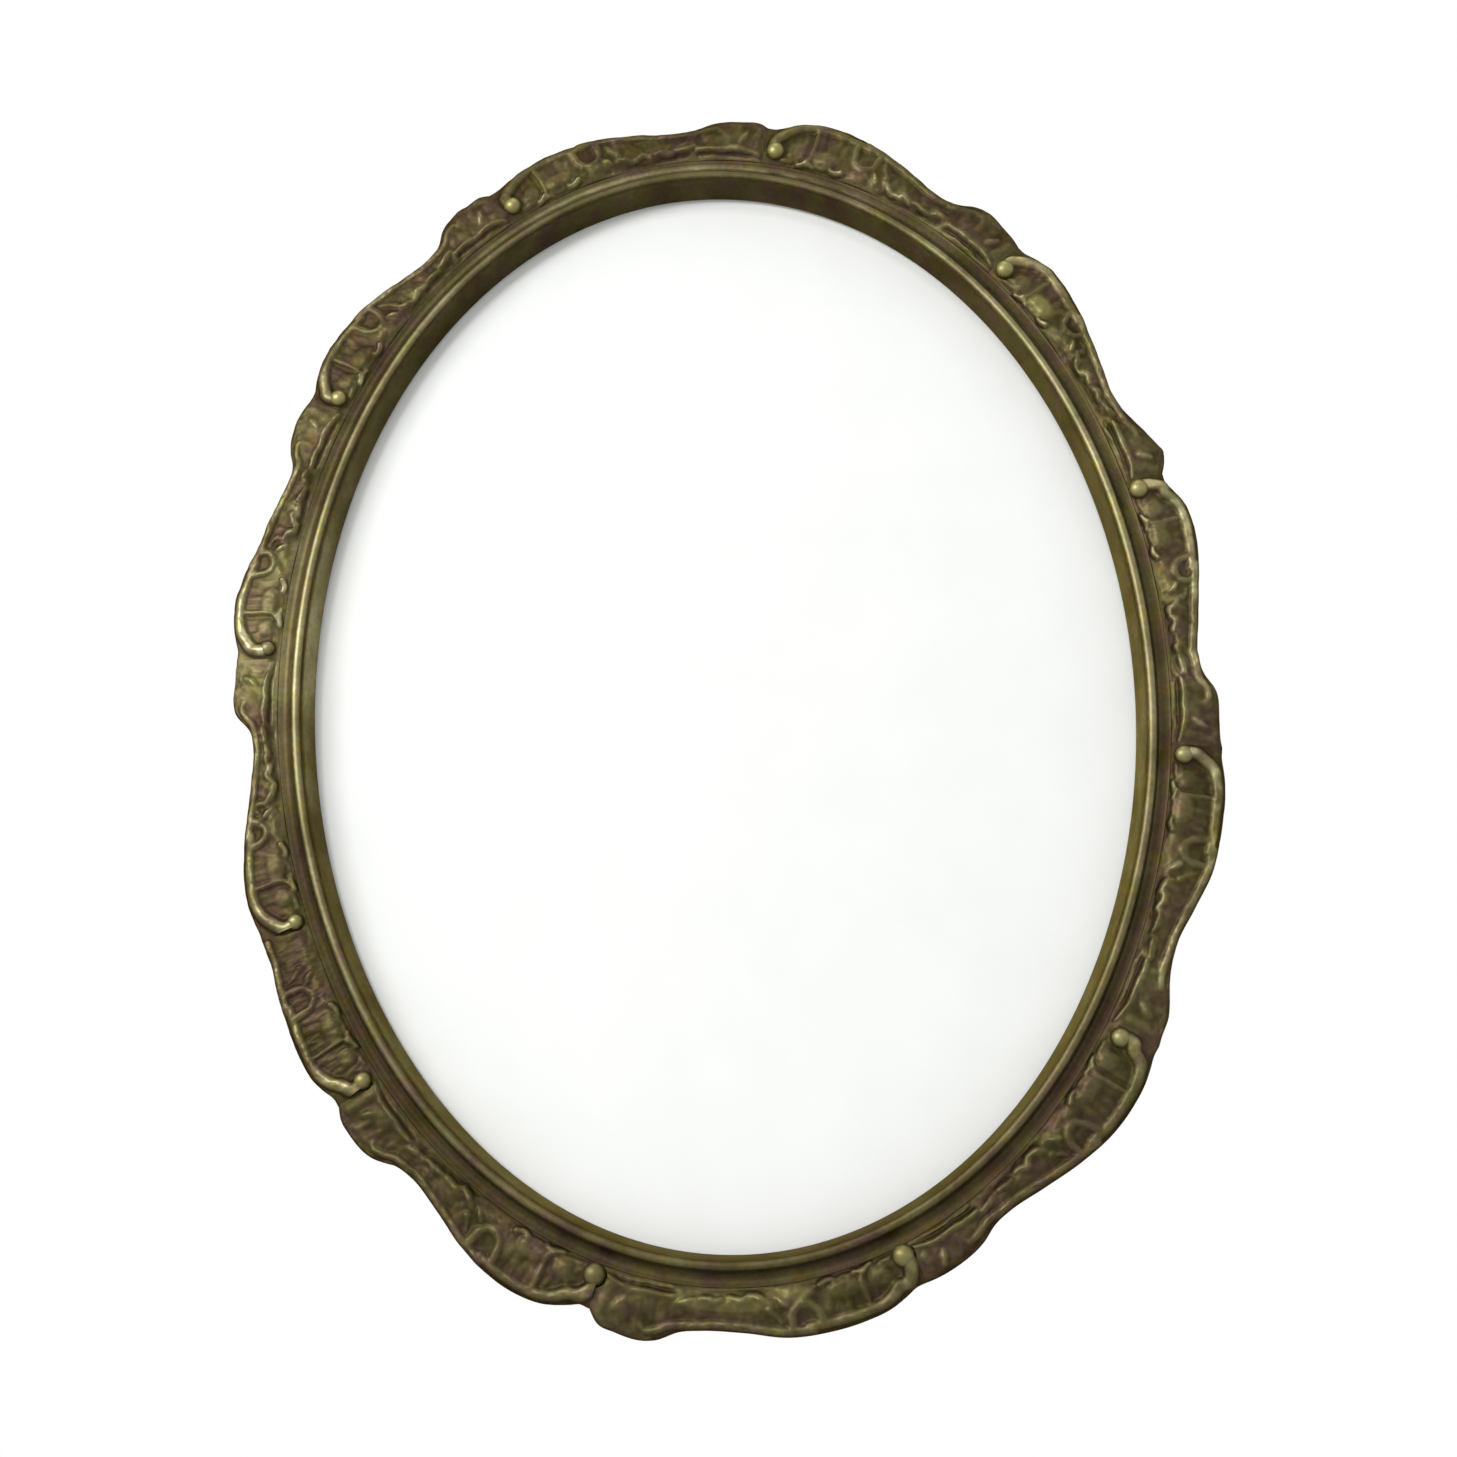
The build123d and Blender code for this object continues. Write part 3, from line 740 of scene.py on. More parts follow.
# %% Garland, ruffle and leaf
def draw_garland(work, edge, shake):
    """Garland hung from the rim, and the broad petal with its seeds below."""
    low = 17.6 + shake()
    drop = [(29.6, edge(29.6) - 3.2), (30.6, 20.6), (32.4, low + 0.6)]
    work.stroke(drop, (1.7, 1.5, 1.2), (1.2, 0.95, 0.8), 0.20)
    belly = [(32.0, low + 0.5), (34.6, low), (36.8, low + 0.8)]
    work.stroke(belly, (1.1, 1.6, 1.2), (0.8, 1.0, 0.8), 0.17)
    lift = [(36.6, low + 0.9), (38.4, 20.2), (38.8, edge(38.8) - 2.8)]
    work.stroke(lift, (1.1, 1.5, 1.6), (0.7, 0.9, 1.0), 0.18)
    work.swell((34.4, 20.8), (2.4, 1.9), -0.6)
    work.swell((35.4 + shake(), 12.2), (7.0, 4.4), 0.75)
    rib = [(29.4, 10.8), (31.2, 14.0), (34.2, 15.8), (38.0, 15.4), (40.8, 13.4), (41.6, 11.4)]
    work.stroke(rib, (1.0, 1.2, 0.9), (0.35, 0.55, 0.35), 0.07)
    for foot, top in ((32.6, 33.4), (35.2, 36.2), (37.8, 38.8)):
        work.stroke([(foot, 11.0), (top, 14.6)], (0.7, 1.0), (0.15, 0.25), 0.0)
    seed = [(39.6 + shake(), 17.4), (41.0, 16.2), (42.2, 14.6)]
    work.stroke(seed, (0.9, 1.2, 0.7), (1.0, 1.4, 0.8), 0.52)
    work.ball((44.8 + shake(), 18.4 + shake()), (1.4, 1.1), 0.9, 0.20)
    stem = [(41.6, edge(41.6) - 4.6), (43.4, 20.2), (45.0, 18.8)]
    work.stroke(stem, (0.8, 1.0), (0.5, 0.7), 0.08)


def draw_ruffle(work, edge, shake):
    """Ruffled leaf edge: a bright zigzag with small leaves behind it."""
    work.swell((57.0, 16.4), (16.0, 2.8), 0.45)
    rows = [(45.0, 16.4), (46.8, 14.8), (48.8, 13.2), (50.6, 12.8), (52.4, 13.8), (54.0, 14.9)]
    rows += [(55.6, 14.0), (57.4, 13.5), (59.4, 14.3), (61.4, 14.9), (63.2, 14.3)]
    rows += [(65.4, 14.1), (67.8, 14.8), (70.4, 15.4), (73.0, 16.2)]
    rows = [(a + shake(0.9), r + shake(0.5)) for a, r in rows]
    pieces = ((rows[:4], 0.26), (rows[3:8], 0.34), (rows[8:12], 0.16), (rows[12:], 0.24))
    for piece, rub in pieces:
        widths = (1.0 + shake(0.2), 1.6, 1.1 + shake(0.2))
        work.stroke(piece, widths, (0.9, 1.3, 0.9), rub + shake(0.08))
    leaves = [((49.0, 18.6), (47.2, 15.4)), ((53.6, 18.0), (51.2, 14.8))]
    leaves += [((58.8, 17.6), (56.4, 14.4)), ((64.4, 17.4), (62.0, 15.0))]
    leaves += [((70.0, 17.6), (67.6, 15.4))]
    for root, tip in leaves:
        tip = (tip[0] + shake(0.8), tip[1])
        work.stroke([root, tip], (1.1, 1.6), (0.3, 0.7), 0.05, smooth=False)
    work.cut([(46.0, 11.6), (52.0, 11.2), (58.0, 11.8), (64.0, 12.2), (71.0, 12.8)], 1.4, 0.3)


def draw_leaf(work, edge, shake):
    """Leaf lobe that tucks under the next knob."""
    work.swell((87.0, 17.6), (10.0, 5.0), 0.55)
    for foot, top in ((78.4, 77.6), (82.8, 84.6), (87.0, 89.6), (94.4, 96.4)):
        vein = [(foot, 16.4 + shake()), (mix(foot, top, 0.6), 19.2)]
        vein += [(top + shake(), edge(top) - 3.8)]
        work.stroke(vein, (1.2, 1.8, 1.4), (0.25, 0.5, 0.25), 0.03)
    dash = [(89.8 + shake(), 18.4), (91.2, 20.4), (92.2, 22.4)]
    work.stroke(dash, (1.0, 1.5, 0.9), (1.0, 1.3, 0.8), 0.42)
    work.ball((95.2 + shake(), 17.4 + shake()), (1.9, 2.6), 0.6, 0.05)
    line = [(75.0, 14.6), (79.5, 15.0), (84.0, 14.5), (88.5, 14.9), (93.0, 14.2), (97.8, 12.8)]
    line = [(a, r + shake(0.4)) for a, r in line]
    work.stroke(line, (1.1, 1.5, 1.2, 0.9), (0.9, 1.2, 1.0, 0.7), 0.28)
    work.cut([(75.0, 13.0), (83.0, 12.9), (90.0, 12.7), (97.0, 11.7)], 1.0, 0.5)
    work.stroke([(76.0, 11.4), (88.0, 11.3), (98.0, 10.9)], (1.0, 1.2, 0.9), (0.3, 0.45, 0.3), 0.04)


print("leaf work is ready")

# %% [markdown]
# The leaf work's rub is scaled by the length's own polish. The rim is drawn last,
# with a rub of its own, because it stands highest and every duster reaches it; that
# rub also holds painted shade. The cut length ends before the ruffle starts, so it has only rim,
# fan and garland.

# %% Relief of one length
def relief(number, along, reach, edge_line, outline, jitter):
    """Heights and rubs of one length's face, in millimetres and shares."""
    work = Relief(along, reach, edge_line)

    def edge(place):
        return float(smooth_curve(outline[:, 0], outline[:, 1], np.array([place]))[0])

    def shake(amount=0.4):
        return jitter.uniform(-amount, amount)

    cut_short = number == CUT_LENGTH
    work.polish = POLISH[number]
    draw_fan(work, edge, shake)
    draw_garland(work, edge, shake)
    if not cut_short:
        draw_ruffle(work, edge, shake)
        draw_leaf(work, edge, shake)
    work.polish = 1.0
    draw_rim(work, edge, outline[-1, 0], cut_short, RIM_WEAR_AND_SHADE[number], knob_spot(number))
    return crown_rise(reach) + work.rise, work.rub


print("relief is ready")

# %% [markdown]
# The colour isn't even round the oval. Tables hold a value for every 30 degrees, the first
# at 15: one for the lip, one for the bead and four for places across the hollow and
# the slope beyond it. The values are wear together with painted light and shade: each
# stretch is lightened or darkened as light falls on its side of the oval, and one place on the left
# has a painted sheen on everything.

# %% Wear and painted light round the oval
RUB_TURNS = tuple(range(15, 360, 30))
LIP_WEAR_AND_LIGHT = (0.50, 0.38, 0.32, 0.33, 0.34, 0.70, 0.58, 0.66, 0.60, 0.50, 0.60, 0.60)
BEAD_WEAR_AND_LIGHT = (0.80, 0.70, 0.52, 0.45, 0.70, 0.68, 0.66, 0.50, 0.50, 0.50, 0.53, 0.70)
FOOT_WEAR_AND_LIGHT = (0.66, 0.65, 0.90, 0.88, 0.78, 0.84, 0.70, 0.84, 0.38, 0.42, 0.66, 0.90)
HOLLOW_WEAR_AND_LIGHT = (0.45, 0.38, 0.82, 0.88, 0.30, 0.35, 0.13, 0.16, 0.31, 0.36, 0.16, 0.33)
WALL_WEAR_AND_LIGHT = (0.22, 0.13, 0.32, 0.47, 0.27, 0.58, 0.43, 0.25, 0.33, 0.32, 0.06, 0.13)
SLOPE_WEAR_AND_LIGHT = (0.40, 0.42, 0.52, 0.52, 0.48, 0.66, 0.56, 0.46, 0.42, 0.38, 0.30, 0.36)
HOLLOW_PLACES = (5.6, 7.8, 9.6, 10.6)
# A painted sheen lightens one stretch of the band on the left side of the oval.
SHEEN_PATCH_TURN, SHEEN_PATCH_SPREAD, SHEEN_PATCH_LIFT = 174.5, 7.0, 0.20
ORNAMENT_SHEEN_SHARE = 0.5


def painted_sheen(turn):
    """Painted sheen: a lighter stretch of the band at one place on the left."""
    gap = (np.degrees(turn) - SHEEN_PATCH_TURN + 180) % 360 - 180
    return SHEEN_PATCH_LIFT * np.exp(-((gap / SHEEN_PATCH_SPREAD) ** 2))


def wear_and_light_at(turn, rubs):
    """Value of a table of wear and painted light round the oval, at an oval angle, plus the painted
    sheen.
    """
    return np.interp(np.degrees(turn), RUB_TURNS, rubs, period=360) + painted_sheen(turn)


def hollow_wear_and_light(turn, reach):
    """Wear and painted light across the hollow: foot, floor, wall and the slope beyond, each from
    its own table.
    """
    rubs = [wear_and_light_at(turn, table) for table in (FOOT_WEAR_AND_LIGHT, HOLLOW_WEAR_AND_LIGHT, WALL_WEAR_AND_LIGHT, SLOPE_WEAR_AND_LIGHT)]
    return float(np.interp(reach, HOLLOW_PLACES, rubs))


print("wear tables at", len(RUB_TURNS), "angles, handled at", SHEEN_PATCH_TURN, "degrees")

# %% [markdown]
# The grid's points crowd towards the two long edges, because that is where the
# pressing turns over into its flanks. A light blur melts the strokes together, as
# hot composition does in a mould, and the wear part of the point value comes from the same heights:
# what stands proud of its surroundings is rubbed, what lies below them is dark.

# %% Grids with wear
ALONG_STEPS, REACH_STEPS = 420, 84
EDGE_CROWD = 0.55
FLANK_DRAFT = 0.15
OUTER_ROUND, INNER_ROUND = 0.9, 0.25
KNOB_RADII = (3.5, 3.6, 3.6, 3.4, 3.4, 3.8, 3.8, 3.1, 2.9, 2.9, 3.2, 3.4)
KNOB_HEIGHT, KNOB_FLATNESS = 12.3, 0.84
# Knob tops are rubbed brass with a painted highlight; the foot value is darker, as painted shade.
KNOB_TOP_WEAR_AND_HIGHLIGHT = (0.90, 0.90, 0.95, 0.92, 0.82, 0.70, 0.60, 0.82, 0.84, 0.80, 0.92, 0.90)
KNOB_GILTS = (0.50, 0.65, 0.65, 0.30, 0.30, 0.35, 0.15, 0.30, 0.25, 0.10, 0.65, 0.55)


def crowd(share):
    """Shares from 0 to 1, denser near both ends."""
    return share - EDGE_CROWD / (2 * np.pi) * np.sin(2 * np.pi * share)


def blur(grid, spread):
    """Gaussian blur by a spread in grid steps, with mirrored borders."""
    tall = np.pad(grid, grid.shape[1] // 2, mode="reflect")
    rows = np.fft.fftfreq(tall.shape[0])[:, None]
    columns = np.fft.rfftfreq(tall.shape[1])[None, :]
    soft = np.exp(-2 * (np.pi * spread) ** 2 * (rows**2 + columns**2))
    tall = np.fft.irfft2(np.fft.rfft2(tall) * soft, s=tall.shape)
    trim = grid.shape[1] // 2
    return tall[trim:-trim, trim:-trim]


def lumps(shape, spread, jitter):
    """Smooth random hills of unit size, about twice the spread across."""
    field = blur(jitter.standard_normal(shape), spread)
    return field / field.std()


def edge_drop(distance, radius):
    """How far a rounded edge falls below the face, by distance from the edge."""
    t = np.clip(1 - distance / radius, 0, 1)
    return radius * (1 - np.sqrt(1 - t**2 * 0.98))


def laid_grid(name, places, values):
    """Mesh of an operator-made grid, laid on a table of places with point values."""
    rows, columns = places.shape[:2]
    bm = bmesh.new()
    bmesh.ops.create_grid(bm, x_segments=rows - 1, y_segments=columns - 1, size=0.5)
    mesh = bpy.data.meshes.new(name)
    bm.to_mesh(mesh)
    bm.free()
    flat = np.empty(len(mesh.vertices) * 3, np.float32)
    mesh.vertices.foreach_get("co", flat)
    flat = flat.reshape(-1, 3)
    i = np.rint((flat[:, 0] + 0.5) * (rows - 1)).astype(int)
    j = np.rint((flat[:, 1] + 0.5) * (columns - 1)).astype(int)
    mesh.vertices.foreach_set("co", places[i, j].astype(np.float32).ravel())
    for key, table in values.items():
        layer = mesh.attributes.new(key, "FLOAT", "POINT")
        layer.data.foreach_set("value", table[i, j].astype(np.float32).ravel())
    return mesh


print("grid of", ALONG_STEPS, "by", REACH_STEPS, "cells")

# %% [markdown]
# Each knob stands on its own length, and the length before it gets a seat under it,
# a shallow cup, so that its leaf tucks under the knob and never pokes through. Soft
# random hills keep the face from looking machined, and fade out towards the ends,
# where two lengths have to meet. Two lengths also keep a touch of brighter gilt.

# %% Face of one length
SEAT_PLAY, NO_SEAT = 0.2, 99.0
FIRST_SEED = 100
HEIGHT_BLUR, RUB_BLUR, DETAIL_BLUR = 1.7, 1.9, 6
HILL_RISE, HILL_SPREAD = 0.17, 7
DIMPLE_RISE, DIMPLE_SPREAD = 0.07, 3
CALM_ALONG, CALM_INSIDE = 4, 1.8
RUB_MEAN, RUB_PATCHES, RUB_SPREAD, RUB_LIMITS = 0.92, 0.30, 5, (0.3, 1.4)
PROUD_HEIGHT, PROUD_LIMITS = 0.45, (-0.6, 0.3)
PROUD_SHARE, RUB_SHARE = 0.22, 0.78
SLOPE_PLACES = (11.0, 14.0)
# Painted shade along the outer edge of each length, where it rolls over into its flank.
OUTER_EDGE_SHADE, OUTER_EDGE_SHADE_WIDTH = 0.14, 2.2
GILT_SPOTS = {1: (21.4, 16.2, 5.0, 3.6, 0.55), 5: (54.0, 14.4, 20.0, 3.4, 0.20)}
GILT_FADE = 1.2


def knob_seat(number, along, reach):
    """Underside of the next length's knob, which this length's leaf tucks under."""
    next_number = (number + 1) % LENGTH_COUNT
    lead, out = knob_spot(next_number)
    radius = KNOB_RADII[next_number] + SEAT_PLAY
    gap = np.hypot(along - length_span(number) - lead, reach - out) / radius
    dip = np.sqrt(np.clip(1 - gap**2, 0, 1)) * radius * KNOB_FLATNESS
    return np.where(gap < 1, KNOB_HEIGHT - dip, NO_SEAT)


def face_table(number, outline):
    """Places, wear with painted light, and gilt over one length's face."""
    jitter = np.random.default_rng(FIRST_SEED + number)
    share_a = np.linspace(0, 1, ALONG_STEPS + 1)
    share_r = crowd(np.linspace(0, 1, REACH_STEPS + 1))
    line = mix(outline[0, 0], outline[-1, 0], share_a)[:, None]
    along = np.repeat(line, REACH_STEPS + 1, axis=1)
    edge = smooth_curve(outline[:, 0], outline[:, 1], along[:, 0])[:, None] - FLANK_DRAFT
    reach = mix(ORNAMENT_REACH, edge, share_r[None, :])
    height, rub = relief(number, along, reach, edge, outline, jitter)
    height, rub = blur(height, HEIGHT_BLUR), blur(rub, RUB_BLUR)
    inside = ease(along, outline[0, 0], outline[0, 0] + CALM_ALONG)
    inside = inside * ease(-along, -outline[-1, 0], CALM_ALONG - outline[-1, 0])
    hills = HILL_RISE * lumps(height.shape, HILL_SPREAD, jitter)
    hills = hills + DIMPLE_RISE * lumps(height.shape, DIMPLE_SPREAD, jitter)
    height += hills * inside * ease(reach, ORNAMENT_REACH, ORNAMENT_REACH + CALM_INSIDE)
    height = np.minimum(height, knob_seat(number, along, reach))
    detail = height - blur(height, DETAIL_BLUR)
    outer_drop = edge_drop(edge - reach, OUTER_ROUND)
    height -= outer_drop + edge_drop(reach - ORNAMENT_REACH, INNER_ROUND)
    patches = RUB_MEAN + RUB_PATCHES * lumps(height.shape, RUB_SPREAD, jitter)
    rub = rub * np.clip(patches, *RUB_LIMITS)
    proud = np.clip(detail / PROUD_HEIGHT, *PROUD_LIMITS)
    wear_and_light = BASE_RUBS[number] + proud * PROUD_SHARE + rub * RUB_SHARE
    turn = turn_at((length_start(number) + along) * MM)
    # The slope near the sight takes the oval's table of wear and painted light and shade.
    slope = 1 - ease(reach, *SLOPE_PLACES)
    wear_and_light += (wear_and_light_at(turn, SLOPE_WEAR_AND_LIGHT) - BASE_RUBS[number]) * slope
    # Half of the painted sheen also lies on the ornament.
    wear_and_light += painted_sheen(turn) * ORNAMENT_SHEEN_SHARE * (1 - slope)
    # Painted shade: the outer edge is darkened where the face turns down.
    wear_and_light -= OUTER_EDGE_SHADE * np.clip(1 - (edge - reach) / OUTER_EDGE_SHADE_WIDTH, 0, 1)
    gilt = np.zeros(along.shape)
    if number in GILT_SPOTS:
        place, out, half_length, half_width, share = GILT_SPOTS[number]
        gap = np.hypot((along - place) / half_length, (reach - out) / half_width)
        gilt = np.clip(GILT_FADE - gap, 0, share)
    return place_at(turn, reach * MM, height * MM), {"wear_and_light": wear_and_light, "gilt": gilt}


print("gilt spots on lengths", [number + 1 for number in GILT_SPOTS])

# %% [markdown]
# The face is closed by its flanks and a flat back on the seat. The knob is a ball a
# little flatter than round, set into the face. Each finished piece stands for its CAD
# node, which it hides, and rides with that node's body.

# %% One length as a closed piece
FLANK_WEAR, KNOB_FOOT_WEAR_AND_SHADE = 0.12, 0.52
KNOB_SEGMENTS, KNOB_RINGS = 40, 24
ORNAMENT_SHARP, RING_SHARP = 60, 40


def build_length(number):
    """One pressed length: its mesh, closed at the back, with values of wear and painted light, and
    gilt.
    """
    outline = outline_spots(number)
    places, values = face_table(number, outline)
    mesh = laid_grid(f"ornament_length_{number + 1:02d}", places, values)
    bm = bmesh.new()
    bm.from_mesh(mesh)
    wear_and_light, gilt = bm.verts.layers.float["wear_and_light"], bm.verts.layers.float["gilt"]
    rim = [edge for edge in bm.edges if edge.is_boundary]
    walls = bmesh.ops.extrude_edge_only(bm, edges=rim)["geom"]
    for vert in (item for item in walls if isinstance(item, bmesh.types.BMVert)):
        vert.co.y = -SEAT_HEIGHT * MM
        vert[wear_and_light] = FLANK_WEAR
    loop = [edge for edge in bm.edges if edge.is_boundary]
    bmesh.ops.triangle_fill(bm, use_beauty=True, edges=loop, normal=(0, 1, 0))
    lead, out = knob_spot(number)
    along = np.array([length_start(number) + lead]) * MM
    centre = Vector(place_at(turn_at(along), out * MM, KNOB_HEIGHT * MM)[0])
    pole = Matrix.Translation(centre) @ Matrix.Rotation(math.radians(90), 4, "X")
    pole = pole @ Matrix.Diagonal((1, 1, KNOB_FLATNESS, 1))
    ball = bmesh.ops.create_uvsphere(
        bm, u_segments=KNOB_SEGMENTS, v_segments=KNOB_RINGS,
        radius=KNOB_RADII[number] * MM, matrix=pole,
    )["verts"]
    # Each knob's colour runs from a darker foot to a painted highlight on its front, over its real
    # rub.
    for vert in ball:
        lift = (centre.y - vert.co.y) / (KNOB_RADII[number] * KNOB_FLATNESS * MM)
        vert[wear_and_light] = mix(KNOB_FOOT_WEAR_AND_SHADE, KNOB_TOP_WEAR_AND_HIGHLIGHT[number], max(lift, 0) ** 1.5)
        vert[gilt] = KNOB_GILTS[number]
    bmesh.ops.recalc_face_normals(bm, faces=bm.faces)
    for face in bm.faces:
        face.smooth = True
    bm.to_mesh(mesh)
    bm.free()
    mesh.set_sharp_from_angle(angle=math.radians(ORNAMENT_SHARP))
    return mesh


def dress(mesh, material, slot, *nodes, body=BODY):
    """Object for a finished mesh: stands for CAD nodes and rides with their body."""
    piece = bpy.data.objects.new(mesh.name, mesh)
    bpy.context.collection.objects.link(piece)
    mesh.materials.append(material)
    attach(piece, body)
    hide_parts(*nodes)
    print(piece.name, len(mesh.polygons), "faces")
    return piece


for number in range(LENGTH_COUNT):
    dress(build_length(number), bronze, "gilt_bronze", f"ornament_{number + 1:02d}")

# %% [markdown]
# The sight slip and the moulding are turned shapes on an oval lathe: one section
# carried round. A sweep along a curve would twist and stretch the section, so the
# section is spun round a circle first, which closes its seam exactly, and each
# point is then moved from the circle to the oval at the same angle and reach.

# %% Turned rings
SPIN_RADIUS = 200.0


def no_drift(reach, height, turn):
    """No shift, for a ring that keeps the true oval."""
    return 0.0


def turned(name, section, wear_and_light_of, start, span, steps, rounds, drift=no_drift):
    """Section of (reach, height) points spun from one oval angle over a span."""
    bm = bmesh.new()
    corners = [bm.verts.new((SPIN_RADIUS + reach, 0, height)) for reach, height in section]
    lines = [bm.edges.new(pair) for pair in zip(corners, corners[1:] + corners[:1])]
    whole = span > 2 * math.pi - 1e-6
    bmesh.ops.spin(
        bm, geom=corners + lines, cent=(0, 0, 0), axis=(0, 0, 1), dvec=(0, 0, 0),
        angle=span, steps=steps, use_merge=whole, use_duplicate=False,
    )
    for (reach, height), size in rounds.items():
        picked = [edge for edge in bm.edges if all(on_ring(v, reach, height) for v in edge.verts)]
        bmesh.ops.bevel(
            bm, geom=picked, offset=size, affect="EDGES", segments=3, profile=0.5,
            material=-1, clamp_overlap=True,
        )
    if not whole:
        ends = [edge for edge in bm.edges if edge.is_boundary]
        bmesh.ops.holes_fill(bm, edges=ends, sides=0)
    wear_and_light = bm.verts.layers.float.new("wear_and_light")
    for vert in bm.verts:
        reach = math.hypot(vert.co.x, vert.co.y) - SPIN_RADIUS
        turn = start + math.atan2(vert.co.y, vert.co.x) % (2 * math.pi)
        vert[wear_and_light] = wear_and_light_of(reach, vert.co.z, turn)
        reach += drift(reach, vert.co.z, turn)
        vert.co = place_at(np.array([turn]), reach * MM, vert.co.z * MM)[0]
    bmesh.ops.recalc_face_normals(bm, faces=bm.faces)
    for face in bm.faces:
        face.smooth = True
    mesh = bpy.data.meshes.new(name)
    bm.to_mesh(mesh)
    bm.free()
    mesh.set_sharp_from_angle(angle=math.radians(RING_SHARP))
    return mesh


def on_ring(vert, reach, height):
    """True for a point of the spun section's corner at this reach and height."""
    own = math.hypot(vert.co.x, vert.co.y) - SPIN_RADIUS
    return abs(own - reach) < 1e-3 and abs(vert.co.z - height) < 1e-3


print("rings are spun at a radius of", SPIN_RADIUS, "mm")

# %% [markdown]
# The slip was turned, but its bead was run by hand in soft composition, so it drifts
# outwards by up to half a millimetre in two places. It is the most worn line on the
# frame: its top is bright, rubbed and with a painted highlight, a darker line runs at its foot, and
# its tone round the oval holds painted light and shade.

# %% Sight slip
BEAD_REACH, BEAD_HEIGHT = 3.95, 10.9
BEAD_HALF, BEAD_RISE = 1.62, 1.2
BEAD_POINTS, BEAD_START, BEAD_STEP = 11, 195, 16
BEAD_FOOT, BEAD_FADE, BEAD_FALL = 11.2, 0.8, 0.20
FOOT_LINE_HEIGHT, FOOT_LINE_RUB = 9.5, 0.36
BEAD_DRIFTS = (0.1, -0.2, 0.0, 0.0, 0.1, 0.1, 0.15, 0.5, 0.0, 0.0, 0.4, 0.5)
slip = [(0.0, 0.05), (0.0, 0.8), (0.45, 2.5), (0.85, 4.2), (1.3, 6.1), (1.8, 8.0), (2.35, 9.75)]
slip += [(2.40, 10.15)]
for step in range(BEAD_POINTS):
    bow = math.radians(BEAD_START - step * BEAD_STEP)
    across, up = BEAD_HALF * math.cos(bow), BEAD_RISE * math.sin(bow)
    slip.append((BEAD_REACH + across, BEAD_HEIGHT + up))
slip += [(5.60, 11.12), (5.9, 10.72), (6.25, 10.36), (6.60, 10.08)]
slip += [(6.60, 4.05), (4.8, 4.05), (4.8, 0.05)]


def slip_wear_and_light(reach, height, turn):
    """Bead with a rubbed top and a painted highlight, a darker foot line inside it and a brown lip,
    each with painted light and shade round the oval.
    """
    bead = wear_and_light_at(turn, BEAD_WEAR_AND_LIGHT)
    if height > BEAD_FOOT:
        return mix(bead - BEAD_FALL, bead, min(1, (height - BEAD_FOOT) / BEAD_FADE))
    if reach > 4:
        return hollow_wear_and_light(turn, reach)
    return FOOT_LINE_RUB if height > FOOT_LINE_HEIGHT else wear_and_light_at(turn, LIP_WEAR_AND_LIGHT)


def bead_drift(reach, height, turn):
    """Uneven seat of the bead, which was run by hand: millimetres outwards."""
    near = np.clip((height - 5.0) / 4.5, 0, 1) * np.clip((6.6 - reach) / 1.2, 0, 1)
    return float(near * np.interp(np.degrees(turn), RUB_TURNS, BEAD_DRIFTS, period=360))


mesh = turned(
    "sight_slip_ring", slip, slip_wear_and_light, 0.0, 2 * math.pi, 360, {(0.0, 0.8): 0.2}, bead_drift
)
dress(mesh, bronze, "gilt_bronze", "sight_slip")

# %% [markdown]
# The wooden moulding shows in two places: its hollow channel, painted with the
# same bronze, and its bare back, which such makers only stain. Both are one piece
# of wood, so one material changes from paint to stain across the outer wall, with
# a ragged line where the brush stopped.

# %% Painted and stained wood
STAIN_DARK = (0.030, 0.017, 0.009)
STAIN_LIGHT = (0.085, 0.048, 0.024)
PAINT_LINE = -0.0012


def stained_grain(tree, coords):
    """Colour and height of stained wood with its grain along the ring's height."""
    shift = tree.nodes.new("ShaderNodeMapping")
    shift.inputs["Scale"].default_value = (260.0, 900.0, 26.0)
    tree.links.new(coords, shift.inputs["Vector"])
    streak = noise(tree, shift.outputs[0], 1.0, 5.0, 0.6)
    pores = noise(tree, shift.outputs[0], 3.2, 2.0, 0.5)
    colour = ramp(tree, streak, [(0.30, STAIN_DARK), (0.52, STAIN_LIGHT), (0.66, STAIN_DARK)])
    return colour, sums(tree, "MULTIPLY_ADD", pores, 0.5, streak)


def painted_wood(name):
    """Bronze paint in front of the paint line, stained wood behind it."""
    material = aged_bronze(name)
    tree = material.node_tree
    paint = next(n for n in tree.nodes if n.type == "BSDF_PRINCIPLED")
    stain = tree.nodes.new("ShaderNodeBsdfPrincipled")
    coords = object_coords(tree)
    colour, height = stained_grain(tree, coords)
    tree.links.new(colour, stain.inputs["Base Color"])
    stain.inputs["Roughness"].default_value = 0.62
    add_bump(tree, stain, height, 0.35, 0.0002)
    split = tree.nodes.new("ShaderNodeSeparateXYZ")
    tree.links.new(coords, split.inputs[0])
    ragged = noise(tree, coords, 260.0, 3.0)
    line = sums(tree, "MULTIPLY_ADD", ragged, -0.0016, split.outputs["Y"])
    share = sums(tree, "GREATER_THAN", line, PAINT_LINE - 0.0008)
    show_mix(tree, share, paint, stain)
    return material


wood = painted_wood("painted_wood")
print("wood nodes:", len(wood.node_tree.nodes))

